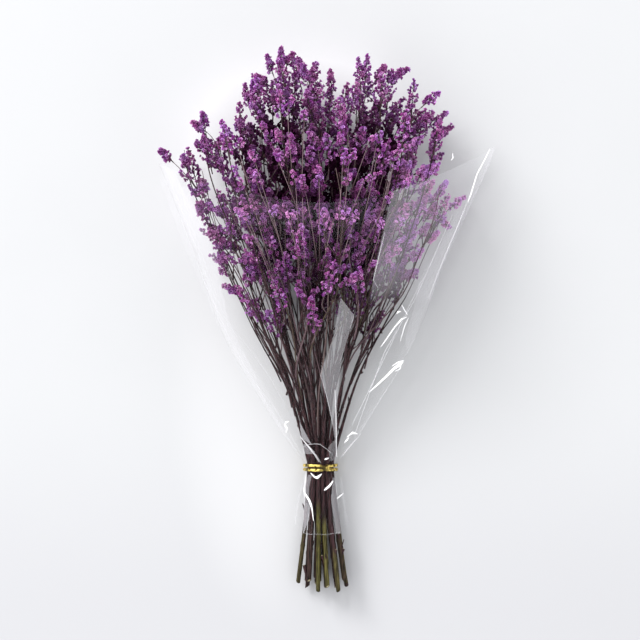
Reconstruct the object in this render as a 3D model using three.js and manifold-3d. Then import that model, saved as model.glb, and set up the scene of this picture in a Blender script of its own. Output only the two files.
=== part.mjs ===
// A bunch of preserved caspia sea lavender, lying on its side: cut sprays whose branches end in plumes of
// small florets, in a clear film sleeve gathered round the stems by a two-turn twist tie.
// Millimetres. +Z is up, +Y runs from the cut ends to the flower tips, and the bunch lies on Z = 0.
import * as THREE from "three";
import { mergeVertices } from "three/addons/utils/BufferGeometryUtils.js";
import Module from "manifold-3d";

const wasm = await Module();
wasm.setup();

const { sin, cos, sqrt, abs, min, max, round, PI } = Math;
const vec = (x, y, z) => new THREE.Vector3(x, y, z);
const clamp = (value, low, high) => min(max(value, low), high);
const mix = (a, b, share) => a + (b - a) * share;

// A smooth function through [position, value] knots, flat beyond the first and the last.
function profile(knots) {
  const last = knots.length - 1;
  const slopes = knots.map((_, i) => {
    const [before, after] = [knots[max(i - 1, 0)], knots[min(i + 1, last)]];
    return (after[1] - before[1]) / (after[0] - before[0]);
  });
  return (at) => {
    let i = 0;
    while (i < last - 1 && at > knots[i + 1][0]) i++;
    const span = knots[i + 1][0] - knots[i][0];
    const t = clamp((at - knots[i][0]) / span, 0, 1);
    const [t2, t3] = [t * t, t * t * t];
    const values = (2 * t3 - 3 * t2 + 1) * knots[i][1] + (3 * t2 - 2 * t3) * knots[i + 1][1];
    return values + span * ((t3 - 2 * t2 + t) * slopes[i] + (t3 - t2) * slopes[i + 1]);
  };
}

// Repeatable draws from 0 to 1, from a linear congruential sequence.
function draws(seed) {
  let state = seed >>> 0;
  return () => {
    state = (Math.imul(state, 1664525) + 1013904223) >>> 0;
    return state / 4294967296;
  };
}

// The bundle at the tie: stems side by side in staggered rows, from the surface upwards.
const TIE_Y = -148;
const WAIST_LOW_Y = TIE_Y - 5;
const WAIST_HIGH_Y = TIE_Y + 5;
const TIE_ROWS = [4, 5, 6, 5, 4];
const CUT_RADIUS = 2.3;
const WAIST_RADIUS = 2.12;
const TIP_RADIUS = 0.75;
const PITCH = 2 * WAIST_RADIUS + 0.35;
const ROW_STEP = (PITCH * sqrt(3)) / 2;
const BUNDLE_HALF_X = ((max(...TIE_ROWS) - 1) / 2) * PITCH;
const BUNDLE_HALF_Z = ((TIE_ROWS.length - 1) / 2) * ROW_STEP;

// The bundle's course, by its distance along Y
const CUT_Y = -271;
const TOP_Y = 270;
const axisX = profile([[CUT_Y, 3], [WAIST_LOW_Y, 0.5], [WAIST_HIGH_Y, 0.5], [0, 0], [150, 4], [TOP_Y, 6]]);
const axisZ = profile([
  [CUT_Y, 13.4], [-200, 14.4], [WAIST_LOW_Y, 16], [WAIST_HIGH_Y, 16], [-100, 22], [-50, 31], [0, 42],
  [50, 52], [100, 58], [150, 59], [200, 56], [TOP_Y, 50],
]);
// Half the width and height over which the main stems fan out.
const fanX = profile([
  [CUT_Y, 25], [-200, 15.8], [WAIST_LOW_Y, BUNDLE_HALF_X], [WAIST_HIGH_Y, BUNDLE_HALF_X], [-100, 24],
  [-50, 44], [0, 68], [50, 92], [100, 114], [150, 132], [200, 143], [TOP_Y, 150],
]);
const fanZ = profile([
  [CUT_Y, 9.6], [-200, 8.6], [WAIST_LOW_Y, BUNDLE_HALF_Z], [WAIST_HIGH_Y, BUNDLE_HALF_Z], [-100, 14],
  [-50, 24], [0, 33], [50, 41], [100, 45], [150, 46], [200, 44], [TOP_Y, 38],
]);
// How far a place in the bundle hangs below its own height, so that the two sides come down level with
// the sleeve's seams. The lowest stems hang least, because the surface carries them.
const sideSag = profile([[-100, 0], [0, 8], [100, 22], [175, 22], [TOP_Y, 10]]);
const sag = (y, acrossX, acrossZ) => sideSag(y) * acrossX ** 2 * (0.6 + 0.4 * acrossZ);
// How far the bundle is turned about its own axis
const twist = profile([[WAIST_HIGH_Y, 0], [TOP_Y, 0.08]]);
// The outline of the flower head: its middle, half width and half height along Y, its top by X and its
// right side by Y. No plume reaches beyond the last two.
const headX = profile([[-70, 0], [130, 4], [200, 2], [225, 12], [250, 12], [TOP_Y, -14]]);
const headWidth = profile([
  [-70, 26], [-20, 56], [0, 70], [30, 92], [60, 110], [100, 130], [130, 140], [160, 138],
  [200, 127], [225, 102], [250, 76], [TOP_Y, 40],
]);
const headHeight = profile([
  [-70, 24], [0, 41], [50, 52], [100, 58], [150, 58], [200, 53], [250, 42], [TOP_Y, 30],
]);
const topY = profile([
  [-160, 172], [-125, 198], [-100, 206], [-72, 238], [-40, 269], [-20, 262], [-6, 247], [8, 237],
  [24, 237], [34, 250], [46, 261], [72, 250], [105, 232], [125, 200], [150, 136],
]);
const rightX = profile([[100, 150], [130, 118], [150, 107], [170, 106], [185, 116], [200, 130]]);

// Film sleeve
const FILM = 1.0;
const SEAM_WALL = 1.8;
const GATHERED = 1.2;
const TIE_HALF = 16.2;
const TIE_TOP = 29.6;
const TIE_BASE = 2.4;
const TIE_MIDDLE = 16;
const halfSleeve = profile([
  [-215, 29], [-185, 24.5], [-165, 19.5], [WAIST_LOW_Y, TIE_HALF], [WAIST_HIGH_Y, TIE_HALF], [-137, 21],
  [-116, 37], [-78, 61], [-35, 86.5], [0, 103.5], [55, 122], [93, 138], [156, 165], [175, 171],
]);
const sleeveTop = profile([
  [-215, 28], [-185, 28.5], [WAIST_LOW_Y, TIE_TOP], [WAIST_HIGH_Y, TIE_TOP], [-120, 38], [-80, 53],
  [-50, 65], [0, 90], [50, 113], [100, 123], [130, 124], [175, 122],
]);
const sleeveSeam = profile([
  [-215, 13], [WAIST_LOW_Y, TIE_MIDDLE], [WAIST_HIGH_Y, TIE_MIDDLE], [-100, 20], [0, 30], [100, 38],
  [175, 42],
]);
const sleeveBase = profile([
  [-215, 0.6], [-190, 0.8], [WAIST_LOW_Y, TIE_BASE], [WAIST_HIGH_Y, TIE_BASE], [-120, 0.4], [-104, 0],
  [175, 0],
]);
// 1 where the film is gathered into a tube, 0 where it spreads into a flattened cone.
const roundness = profile([[-140, 1], [-110, 0.7], [-60, 0]]);
const FLAT_SHARE = 0.5;
const CREASE_SHARE = 0.44;

// Height of the sleeve's front and back at a share of its half width from the middle. inset moves the
// surface into the film, for the inner side. The front arches up from the left seam to a long crease,
// and falls in one flat facet from there to the right seam.
const arch = (share, tubular) => (1 - min(abs(share), 1) ** mix(4, 2, tubular)) ** mix(1, 0.5, tubular);
function frontZ(share, y, inset = 0) {
  const tubular = roundness(y);
  const facet = (arch(CREASE_SHARE, 0) * (1 - share)) / (1 - CREASE_SHARE);
  const arched = arch(share, tubular);
  const bulge = share > CREASE_SHARE ? mix(facet, arched, tubular) : arched;
  return sleeveSeam(y) + (sleeveTop(y) - sleeveSeam(y) - inset) * bulge;
}
function backZ(share, y, inset = 0) {
  const reach = min(abs(share), 1);
  const tubular = 1 - sqrt(1 - reach * reach);
  const lifted = max(0, (reach - FLAT_SHARE) / (1 - FLAT_SHARE)) ** 1.6;
  const rise = mix(lifted, tubular, roundness(y));
  return sleeveBase(y) + inset + (sleeveSeam(y) - sleeveBase(y) - inset) * rise;
}
// The mouth and the skirt's hem: how far along Y the film ends.
const MOUTH_FRONT_Y = 113.5;
const MOUTH_BACK_Y = 166;
const CORNER_LEFT_Y = 156;
const CORNER_RIGHT_Y = 172;
const HEM_Y = -215;
const HEM_CORNER_RISE = 10;
function mouthY(share, isFront) {
  const corner = share < 0 ? CORNER_LEFT_Y : CORNER_RIGHT_Y;
  return mix(isFront ? MOUTH_FRONT_Y : MOUTH_BACK_Y, corner, share ** 2);
}

// Sprays
const STEM_SIDES = 5;
const STEM_ROWS = [-205, WAIST_LOW_Y, WAIST_HIGH_Y, -100, -40, 30, 100, 165];
const CROWN_LENGTH = 38;
const CUT_SLANT = 1.7;
const SHORTEST_CUT_Y = -258;
const TIP_ROUNDING = 26;
const TIP_DROP = 18;
const LEAN = [14, 10];
const LEAN_FROM_Y = 20;
const TAIL_SEED = 311;
const TAIL_SPREAD = 2;
const ROW_SHIFT = 4;
// The cut ends that lie uppermost, by the stem's number.
const CUT_ENDS = { 9: -263, 14: -263, 20: -258, 21: -271, 22: -267, 23: -271 };

const stemRadius = profile([
  [CUT_Y, CUT_RADIUS], [WAIST_LOW_Y, WAIST_RADIUS], [WAIST_HIGH_Y, WAIST_RADIUS], [-40, 1.5], [100, 1.05],
  [TOP_Y, TIP_RADIUS],
]);

// Each main stem holds its place across the bundle, as shares of the fan's half width and height, and
// has its own cut end and tip along Y. lean is how far its tip swings aside, in X and Z. splay is how
// far its cut end stands aside: rows of an odd number of stems are moved over, so that light falls
// between the ends.
function mainStems(next) {
  const nextTail = draws(TAIL_SEED);
  let number = -1;
  return TIE_ROWS.flatMap((count, row) =>
    Array.from({ length: count }, (_, i) => {
      number++;
      const acrossX = ((i - (count - 1) / 2) * PITCH) / BUNDLE_HALF_X;
      const acrossZ = ((row - (TIE_ROWS.length - 1) / 2) * ROW_STEP) / BUNDLE_HALF_Z;
      const [drawCut, drawTip, drawX, drawZ] = [next(), next(), next(), next()];
      return {
        acrossX,
        acrossZ,
        cut: CUT_ENDS[number] ?? mix(CUT_Y, SHORTEST_CUT_Y, drawCut),
        splay: ROW_SHIFT * (count % 2) + TAIL_SPREAD * (nextTail() - 0.5),
        tip: topY(axisX(TOP_Y) + 144 * acrossX) - TIP_ROUNDING * acrossZ ** 2 - TIP_DROP * drawTip,
        lean: [LEAN[0] * (drawX - 0.5), LEAN[1] * (drawZ - 0.5)],
      };
    }),
  );
}

// A main stem's centre at y: its place across the bundle, turned by the twist, scaled by the fan.
function stemPoint({ acrossX, acrossZ, tip, lean, splay }, y) {
  const tail = clamp((WAIST_LOW_Y - y) / (WAIST_LOW_Y - CUT_Y), 0, 1);
  const [c, s] = [cos(twist(y)), sin(twist(y))];
  const swing = clamp((y - LEAN_FROM_Y) / (tip - LEAN_FROM_Y), 0, 1) ** 2;
  return vec(
    axisX(y) + fanX(y) * (acrossX * c - acrossZ * s) + lean[0] * swing + splay * tail,
    y,
    axisZ(y) - sag(y, acrossX, acrossZ) + fanZ(y) * (acrossX * s + acrossZ * c) + lean[1] * swing,
  );
}

const SEED = 20417;
const PLUMES = 178;
const MOST_TRIES = 60000;
const LOWEST_FLOWER_Y = -62;
const HIGHEST_FLOWER_Y = 270;
const APEX = vec(0, -205, 8);
const CLEARANCE = 0.6;
const CROWD_RANGE = 13;
const MOST_CROWDED = 2;
const TOP_REACH = 2;
// How far a plume leans out with its place in the head, and how far it may lean by chance: along X and Z.
const OUTWARD = [0.42, 0.16];
const TILT = [0.42, 0.36];
const NODE_STEP = 11;
const FIRST_BRANCH_Y = TIE_Y + 14;
// How likely a plume is at a height along the bunch and a share of the way out to the head's surface.
const floweringY = profile([[-62, 0.03], [-20, 0.22], [20, 0.6], [60, 1], [TOP_Y, 1]]);
const bareCore = profile([[-62, 0.93], [0, 0.78], [60, 0.55], [120, 0.3], [200, 0]]);

// The least distance between two straight segments.
function segmentGap(a0, a1, b0, b1) {
  const [u, v, w] = [a1.clone().sub(a0), b1.clone().sub(b0), a0.clone().sub(b0)];
  const [uu, uv, vv, uw, vw] = [u.dot(u), u.dot(v), v.dot(v), u.dot(w), v.dot(w)];
  const span = uu * vv - uv * uv;
  let s = span > 1e-9 ? clamp((uv * vw - vv * uw) / span, 0, 1) : 0;
  const t = clamp((uv * s + vw) / vv, 0, 1);
  s = clamp((uv * t - uw) / uu, 0, 1);
  return a0.clone().addScaledVector(u, s).distanceTo(b0.clone().addScaledVector(v, t));
}

// True if a ball at p stays inside the sleeve where there is sleeve, and off the surface beyond it.
function hasRoom(p, radius) {
  const reach = radius * 1.25 + CLEARANCE;
  if (p.z < reach + 0.4) return false;
  return [-reach, reach].every((aside) => {
    const share = (p.x + aside - axisX(p.y)) / (halfSleeve(p.y) - SEAM_WALL);
    if (p.y > mouthY(clamp(share, -1, 1), false) + reach) return true;
    if (abs(share) > 0.97 || p.z - reach < backZ(share, p.y, FILM)) return false;
    return p.y > mouthY(share, true) + reach || p.z + reach < frontZ(share, p.y, FILM);
  });
}

// Points, headings and radii that a later branch can grow from.
function growthNodes(points, radii, from, to) {
  const nodes = [];
  for (let k = 0; k + 1 < points.length; k++) {
    const heading = points[k + 1].clone().sub(points[k]);
    const length = heading.length();
    heading.normalize();
    const steps = max(1, round(length / NODE_STEP));
    for (let i = 0; i < steps; i++) {
      const along = (k + i / steps) / (points.length - 1);
      if (along < from || along > to) continue;
      const at = points[k].clone().lerp(points[k + 1], i / steps);
      nodes.push({ at, heading, radius: mix(radii[k], radii[k + 1], i / steps) });
    }
  }
  return nodes;
}

function capsulesAlong(points, radii, spray) {
  return points.slice(1).map((to, k) => ({
    from: points[k],
    to,
    radius: max(radii[k], radii[k + 1]),
    spray,
  }));
}

const isClear = (capsules, others, spray, clearance) =>
  capsules.every((one) =>
    others.every(
      (other) =>
        other.spray === spray ||
        segmentGap(one.from, one.to, other.from, other.to) > one.radius + other.radius + clearance,
    ),
  );

// Grows every spray: its main stem, then plumes thrown at the head one by one. A plume that has room
// is joined to the nearest spray by a twig that leaves a lower branch at a narrow angle, and is kept
// only if nothing of it comes near another spray.
function growSprays() {
  const next = draws(SEED);
  const sprays = mainStems(next).map((stem, spray) => {
    const end = stem.tip - CROWN_LENGTH;
    const rows = [stem.cut, ...STEM_ROWS.filter((y) => y < end - 24), end];
    const points = rows.map((y) => stemPoint(stem, y));
    const radii = rows.map(stemRadius);
    const nodes = growthNodes(points, radii, 0, 1).filter(({ at }) => at.y > FIRST_BRANCH_Y);
    return { stem, points, radii, nodes, twigs: [], spray };
  });
  const taken = sprays.flatMap(({ points, radii, spray }) => capsulesAlong(points, radii, spray));

  // The plume that crowns a main stem carries straight on from it.
  for (const spray of sprays) {
    const tip = stemPoint(spray.stem, spray.stem.tip);
    const base = spray.points.at(-1);
    const plume = plumeFrom(tip, tip.clone().sub(base).normalize(), CROWN_LENGTH + 2, 7.6);
    spray.crown = plume;
    taken.push(...plumeCapsules(plume, spray.spray));
  }

  const placed = sprays.map(({ crown }) => crown);
  for (let attempt = 0; attempt < MOST_TRIES && placed.length < PLUMES; attempt++) {
    const [drawY, drawOut, drawTurn, drawKeep] = [next(), next(), next(), next()];
    const [drawLength, drawGirth, tiltX, tiltZ] = [next(), next(), next(), next()];
    const y = mix(LOWEST_FLOWER_Y, HIGHEST_FLOWER_Y, drawY);
    const out = sqrt(drawOut);
    const area = (headWidth(y) * headHeight(y)) / (headWidth(130) * headHeight(130));
    if (out < bareCore(y) || drawKeep > floweringY(y) * area) continue;
    const turn = 2 * PI * drawTurn;
    const [outX, outZ] = [out * cos(turn), out * sin(turn)];
    const tip = vec(
      headX(y) + headWidth(y) * outX,
      y,
      axisZ(y) - sag(y, outX, outZ) + headHeight(y) * outZ,
    );
    if (y > topY(tip.x) + TOP_REACH || tip.x > rightX(y)) continue;
    const heading = tip.clone().sub(APEX).normalize();
    heading.x += OUTWARD[0] * outX + TILT[0] * (tiltX - 0.5);
    heading.z += OUTWARD[1] * outZ + TILT[1] * (tiltZ - 0.5);
    heading.normalize();
    const plume = plumeFrom(tip, heading, mix(30, 46, drawLength), mix(6.4, 9, drawGirth));
    const body = plumeCapsules(plume, -1);
    if (!body.every((c) => hasRoom(c.from, c.radius) && hasRoom(c.to, c.radius))) continue;
    if (crowding(placed, plume) > MOST_CROWDED) continue;
    const spray = nearestSpray(sprays, plume.base);
    if (!isClear(body, taken, spray.spray, CLEARANCE)) continue;
    if (!isClear(body, taken, -1, -3.2)) continue;
    const twig = twigTo(plume, spray, taken);
    if (!twig) continue;
    spray.twigs.push({ ...twig, plume });
    spray.nodes.push(...growthNodes(twig.points, twig.radii, 0.3, 0.95));
    taken.push(...capsulesAlong(twig.points, twig.radii, spray.spray));
    taken.push(...plumeCapsules(plume, spray.spray));
    placed.push(plume);
  }
  return sprays;
}

const plumeFrom = (tip, heading, length, radius) => ({
  tip,
  heading,
  length,
  radius,
  base: tip.clone().addScaledVector(heading, -length),
});
// A plume's neck and its flowering part, as two round-ended capsules.
function plumeCapsules({ base, tip, heading, length, radius }, spray) {
  const neck = base.clone().addScaledVector(heading, length * 0.28);
  const end = tip.clone().addScaledVector(heading, -radius * 0.7);
  return [
    { from: base, to: neck, radius: 1.6, spray },
    { from: neck, to: end, radius, spray },
  ];
}

// How many plumes already lie over or under a plume, as seen from above.
const crowding = (placed, { base, tip }) =>
  placed.filter(
    (other) =>
      abs(other.base.x + other.tip.x - base.x - tip.x) < 2 * CROWD_RANGE &&
      abs(other.base.y + other.tip.y - base.y - tip.y) < 2 * CROWD_RANGE,
  ).length;

// The spray whose main stem runs nearest, measured across the fan, among those that reach so far.
function nearestSpray(sprays, point) {
  const [fx, fz] = [(point.x - axisX(point.y)) / fanX(point.y), (point.z - axisZ(point.y)) / fanZ(point.y)];
  let [best, least] = [sprays[0], Infinity];
  for (const spray of sprays) {
    const beyond = max(0, point.y - (spray.stem.tip - 30)) / 60;
    const away = (spray.stem.acrossX - fx) ** 2 + (spray.stem.acrossZ - fz) ** 2 + beyond ** 2;
    if (away < least) [best, least] = [spray, away];
  }
  return best;
}

const TWIG_RADIUS = 0.7;
const TWIG_ROOT_RADIUS = 1.0;
const NARROWEST = 0.78;
// A curved twig from a lower branch of the spray to a plume's base, or nothing if none fits.
function twigTo(plume, spray, taken) {
  const choices = [];
  for (const node of spray.nodes) {
    const way = plume.base.clone().sub(node.at);
    const length = way.length();
    if (length < 6 || length > 210) continue;
    const leaving = way.dot(node.heading) / length;
    const arriving = way.dot(plume.heading) / length;
    if (leaving < NARROWEST || arriving < 0.62) continue;
    choices.push({ node, length, cost: length * (3.4 - 1.4 * leaving - arriving) });
  }
  choices.sort((a, b) => a.cost - b.cost);
  for (const { node, length } of choices.slice(0, 10)) {
    const bend = plume.base.clone().addScaledVector(plume.heading, -0.45 * length);
    const segments = clamp(round(length / 42), 1, 3);
    const points = [];
    const radii = [];
    const rootRadius = min(TWIG_ROOT_RADIUS, 0.85 * node.radius + 0.1);
    for (let k = 0; k <= segments; k++) {
      const t = k / segments;
      const point = node.at.clone().multiplyScalar((1 - t) * (1 - t));
      points.push(point.addScaledVector(bend, 2 * t * (1 - t)).addScaledVector(plume.base, t * t));
      radii.push(mix(rootRadius, TWIG_RADIUS, t));
    }
    if (!points.every((p) => hasRoom(p, TWIG_ROOT_RADIUS))) continue;
    if (isClear(capsulesAlong(points, radii, spray.spray), taken, spray.spray, CLEARANCE))
      return { points, radii };
  }
  return null;
}

// Solids

// Two unit vectors across a heading, so that (first, second, heading) is right-handed.
function across(heading) {
  const first = vec(0, 0, 1).cross(heading).normalize();
  return [first, heading.clone().cross(first)];
}
function ring(centre, heading, radiusAt, sides, phase = 0) {
  const [first, second] = across(heading);
  return Array.from({ length: sides }, (_, j) => {
    const angle = phase + (2 * PI * j) / sides;
    const { radius, lift = 0 } = radiusAt(j);
    return centre
      .clone()
      .addScaledVector(first, radius * cos(angle))
      .addScaledVector(second, radius * sin(angle))
      .addScaledVector(heading, lift);
  });
}

// Skins a row of rings into one closed body. A ring may hold one point, as many points as the ring
// before it, or twice as many. An open row gets flat ends and a closed row joins its last to its first.
// isFlipped(k, j) is true where the face after point j of ring k is split along its other diagonal.
function skin(rings, { isClosed = false, isFlipped = () => false } = {}) {
  const starts = rings.map((_, k) => rings.slice(0, k).reduce((sum, r) => sum + r.length, 0));
  const faces = [];
  for (let k = 0; k + (isClosed ? 0 : 1) < rings.length; k++) {
    const after = (k + 1) % rings.length;
    const [a, b] = [rings[k].length, rings[after].length];
    const low = (j) => starts[k] + (j % a);
    const high = (j) => starts[after] + (j % b);
    for (let j = 0; j < max(min(a, b), 1); j++) {
      if (b === 1 && a > 1) break;
      if (a === b && isFlipped(k, j))
        faces.push([low(j), low(j + 1), high(j)], [low(j + 1), high(j + 1), high(j)]);
      else if (a === b) faces.push([low(j), low(j + 1), high(j + 1)], [low(j), high(j + 1), high(j)]);
      if (b === 2 * a)
        faces.push(
          [low(j), high(2 * j + 1), high(2 * j)],
          [low(j), low(j + 1), high(2 * j + 1)],
          [low(j + 1), high(2 * j + 2), high(2 * j + 1)],
        );
    }
    if (b === 1 && a > 1) for (let j = 0; j < a; j++) faces.push([low(j), low(j + 1), high(0)]);
  }
  const tail = rings.length - 1;
  if (!isClosed) {
    for (let j = 1; j + 1 < rings[0].length; j++) faces.push([0, j + 1, j]);
    for (let j = 1; j + 1 < rings[tail].length; j++)
      faces.push([starts[tail], starts[tail] + j, starts[tail] + j + 1]);
  }
  const geometry = new THREE.BufferGeometry().setFromPoints(rings.flat());
  geometry.setIndex(faces.flat());
  return geometry;
}

function toSolid(geometry) {
  const merged = mergeVertices(geometry, 1e-4);
  return new wasm.Manifold(
    new wasm.Mesh({
      numProp: 3,
      vertProperties: merged.attributes.position.array,
      triVerts: new Uint32Array(merged.index.array),
    }),
  );
}

const SLIVER = 0.12;
function toMesh(name, solid, material) {
  const { vertProperties, triVerts } = solid.simplify(SLIVER).getMesh();
  const geometry = new THREE.BufferGeometry();
  geometry.setAttribute("position", new THREE.BufferAttribute(vertProperties, 3));
  geometry.setIndex(new THREE.BufferAttribute(triVerts, 1));
  geometry.computeVertexNormals();
  const mesh = new THREE.Mesh(geometry, material);
  mesh.name = name;
  return mesh;
}

const headingAt = (points, k) => {
  const ahead = points[min(k + 1, points.length - 1)];
  return ahead.clone().sub(points[max(k - 1, 0)]).normalize();
};

// The florets stand out of a plume as points on rings of six, every other one raised and the next
// ring turned so that they stagger.
const FLORET_RINGS = [
  { along: 0.3, girth: 0.9 },
  { along: 0.55, girth: 1 },
  { along: 0.8, girth: 0.68 },
];
const CORE_SHARE = 0.3;
const isFloret = (ringIndex, j) => (ringIndex + j) % 2 === 0;
function plumeRings({ base, tip, heading, length, radius }) {
  const rings = FLORET_RINGS.map(({ along, girth }, k) =>
    ring(
      base.clone().addScaledVector(heading, length * along),
      heading,
      (j) =>
        isFloret(k, j)
          ? { radius: radius * girth, lift: radius * 0.35 }
          : { radius: radius * girth * CORE_SHARE, lift: -radius * 0.15 },
      6,
    ),
  );
  return [...rings, [tip]];
}
// A stalk and the plume that ends it, with every face of the plume split along the valley between two
// florets, so that each floret stands alone.
function stalkWithPlume(stalkRings, plume) {
  const isFlipped = (k, j) => k >= stalkRings.length && isFloret(k - stalkRings.length, j);
  return skin([...stalkRings, ...plumeRings(plume)], { isFlipped });
}

function sprayMesh({ points, radii, twigs, crown, spray }, material) {
  const even = (radius) => () => ({ radius });
  const slanted = (j) => ({ radius: CUT_RADIUS, lift: CUT_SLANT * cos((2 * PI * j) / STEM_SIDES) });
  const stemRings = points.map((p, k) =>
    ring(p, headingAt(points, k), k ? even(radii[k]) : slanted, STEM_SIDES),
  );
  const neck = points.at(-1).clone().addScaledVector(crown.heading, -2);
  const crownStalk = [ring(neck, crown.heading, even(TWIG_RADIUS), 3)];
  const solids = [skin(stemRings), stalkWithPlume(crownStalk, crown)];
  for (const twig of twigs) {
    const twigRings = twig.points.map((p, k) => ring(p, headingAt(twig.points, k), even(twig.radii[k]), 3));
    solids.push(stalkWithPlume(twigRings, twig.plume));
  }
  const name = "spray_" + String(spray + 1).padStart(2, "0");
  return toMesh(name, wasm.Manifold.union(solids.map(toSolid)), material);
}

// The sleeve is one film shell, open at the mouth and at the skirt: rings of points go up its outer
// side and down its inner side, with the faces split alike on both.
const FRONT_SHARES = [-1, -0.9, -0.74, -0.55, -0.36, -0.18, 0, 0.16, 0.3, CREASE_SHARE, 0.62, 0.82, 1];
const BACK_SHARES = [0.84, 0.68, 0.5, 0.25, 0, -0.25, -0.5, -0.68, -0.84];
const SLEEVE_ROWS = [
  HEM_Y, -194, -176, -162, WAIST_LOW_Y, WAIST_HIGH_Y, -136, -122, -104, -82, -52, -16, 24, 62, 96,
  MOUTH_FRONT_Y,
];
function sleevePoint(share, isFront, row, isInner) {
  const mouthPull = clamp((row - 24) / (MOUTH_FRONT_Y - 24), 0, 1);
  const hemPull = clamp((-176 - row) / (-176 - HEM_Y), 0, 1);
  const y =
    row +
    mouthPull * (mouthY(share, isFront) - MOUTH_FRONT_Y) +
    hemPull * HEM_CORNER_RISE * abs(share) ** 3;
  const gathered = isInner ? mix(1, GATHERED, roundness(y)) : 0;
  const half = halfSleeve(y) - SEAM_WALL * gathered;
  const height = isFront ? frontZ : backZ;
  return vec(axisX(y) + half * share, y, height(share, y, FILM * gathered));
}
function sleeveMesh(material) {
  const loop = (row, isInner) => [
    ...FRONT_SHARES.map((share) => sleevePoint(share, true, row, isInner)),
    ...BACK_SHARES.map((share) => sleevePoint(share, false, row, isInner)),
  ];
  const outer = SLEEVE_ROWS.map((row) => loop(row, false));
  const inner = SLEEVE_ROWS.map((row) => loop(row, true)).reverse();
  const isFlipped = (k) => k >= SLEEVE_ROWS.length;
  return toMesh("sleeve", toSolid(skin([...outer, ...inner], { isClosed: true, isFlipped })), material);
}

// The twist tie: two parallel turns of foil-covered wire, whose ends cross at the front.
const TIE_STRIP = 2.5;
const TIE_THICKNESS = 1.1;
const TIE_GAP = 0.35;
const TIE_SEGMENTS = 20;
const TURN_OFFSET = 2.9;
const KNOT_ANGLE = 0.44 * PI;
const KNOT_HALF = 0.07 * PI;
const KNOT_RISE = 0.7;
function stripRing(angle, y, rise = 0) {
  const radial = vec(cos(angle), 0, sin(angle));
  const centre = vec(axisX(TIE_Y), TIE_Y + y, TIE_MIDDLE);
  const mid = TIE_GAP + TIE_THICKNESS / 2 + rise;
  centre.x += (TIE_HALF + mid) * radial.x;
  centre.z += (TIE_TOP - TIE_MIDDLE + mid) * radial.z;
  const corners = [[1, -1], [1, 1], [-1, 1], [-1, -1]];
  return corners.map(([out, side]) =>
    centre
      .clone()
      .addScaledVector(radial, (out * TIE_THICKNESS) / 2)
      .add(vec(0, (side * TIE_STRIP) / 2, 0)),
  );
}
function tieMesh(material) {
  const turn = (y) =>
    skin(
      Array.from({ length: TIE_SEGMENTS }, (_, k) => stripRing((2 * PI * k) / TIE_SEGMENTS, y)),
      { isClosed: true },
    );
  const crossing = (side) =>
    skin(
      [-1, 0, 1].map((along) => {
        const rise = along ? KNOT_RISE / 2 : KNOT_RISE;
        return stripRing(KNOT_ANGLE + KNOT_HALF * along, side * TURN_OFFSET * along, rise);
      }),
    );
  const solids = [turn(TURN_OFFSET), turn(-TURN_OFFSET), crossing(1), crossing(-1)];
  return toMesh("tie", wasm.Manifold.union(solids.map(toSolid)), material);
}

const bunch = new THREE.Group();
const flower = new THREE.MeshStandardMaterial({ color: 0x6d2f7c, roughness: 0.85 });
const film = new THREE.MeshStandardMaterial({
  color: 0xe9eaee,
  roughness: 0.08,
  transparent: true,
  opacity: 0.25,
});
const foil = new THREE.MeshStandardMaterial({ color: 0xd2a637, roughness: 0.3, metalness: 0.9 });
for (const spray of growSprays()) bunch.add(sprayMesh(spray, flower));
bunch.add(sleeveMesh(film), tieMesh(foil));

// The origin is on the surface, under the middle of the bunch.
const extent = new THREE.Box3().setFromObject(bunch, true);
const middle = extent.getCenter(vec(0, 0, 0));
bunch.position.set(-middle.x, -middle.y, -extent.min.z);

export default bunch;
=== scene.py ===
# %% [markdown]
# A bunch of preserved caspia lies on a pale table in a clear film sleeve, tied round its stems with gold
# foil wire. The solids from the CAD file give every size and place. This script dresses them: it grows the
# same sprays from the same rule, with real florets, and gives the film, the foil and the bark their finish.

# %% Load the frame
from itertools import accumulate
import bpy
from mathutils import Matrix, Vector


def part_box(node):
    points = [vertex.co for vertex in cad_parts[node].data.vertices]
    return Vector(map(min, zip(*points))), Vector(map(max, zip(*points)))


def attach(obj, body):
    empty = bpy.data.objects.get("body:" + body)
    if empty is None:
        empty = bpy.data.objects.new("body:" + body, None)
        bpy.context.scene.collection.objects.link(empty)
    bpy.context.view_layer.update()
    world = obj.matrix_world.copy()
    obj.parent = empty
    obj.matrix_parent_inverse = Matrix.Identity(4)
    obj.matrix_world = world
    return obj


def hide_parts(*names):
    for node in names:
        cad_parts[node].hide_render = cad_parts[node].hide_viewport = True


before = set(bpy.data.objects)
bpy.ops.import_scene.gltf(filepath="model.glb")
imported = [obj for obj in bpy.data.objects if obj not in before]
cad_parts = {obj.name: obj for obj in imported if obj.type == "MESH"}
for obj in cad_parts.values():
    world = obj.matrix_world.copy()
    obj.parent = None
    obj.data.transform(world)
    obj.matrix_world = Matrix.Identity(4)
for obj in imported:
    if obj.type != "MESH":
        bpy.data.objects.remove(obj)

# %% Libraries, and the box of the solids before anything is dressed
from types import SimpleNamespace

import bpy
import mathutils
import numpy as np

scene = bpy.context.scene
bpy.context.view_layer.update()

# %% [markdown]
# The growth rule works in millimetres, in the bunch's own frame: its axis is near X = 0 and the tie is at Y
# = -148. The solids were moved sideways so that their origin is under the middle of their box. The tie
# shows by how much, because its own middle is known in both frames.

# %% Millimetres, and where the bunch's frame lies in the solids' frame
MM = 0.001
TIE_Y = -148.0
TIE_X = 0.48
tie_low, tie_high = (np.array(corner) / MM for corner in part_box("tie"))
OFFSET = np.array([*((tie_low + tie_high) / 2)[:2], 0.0]) - [TIE_X, TIE_Y, 0.0]
print("bunch frame is moved by", OFFSET.round(2), "mm")

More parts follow.
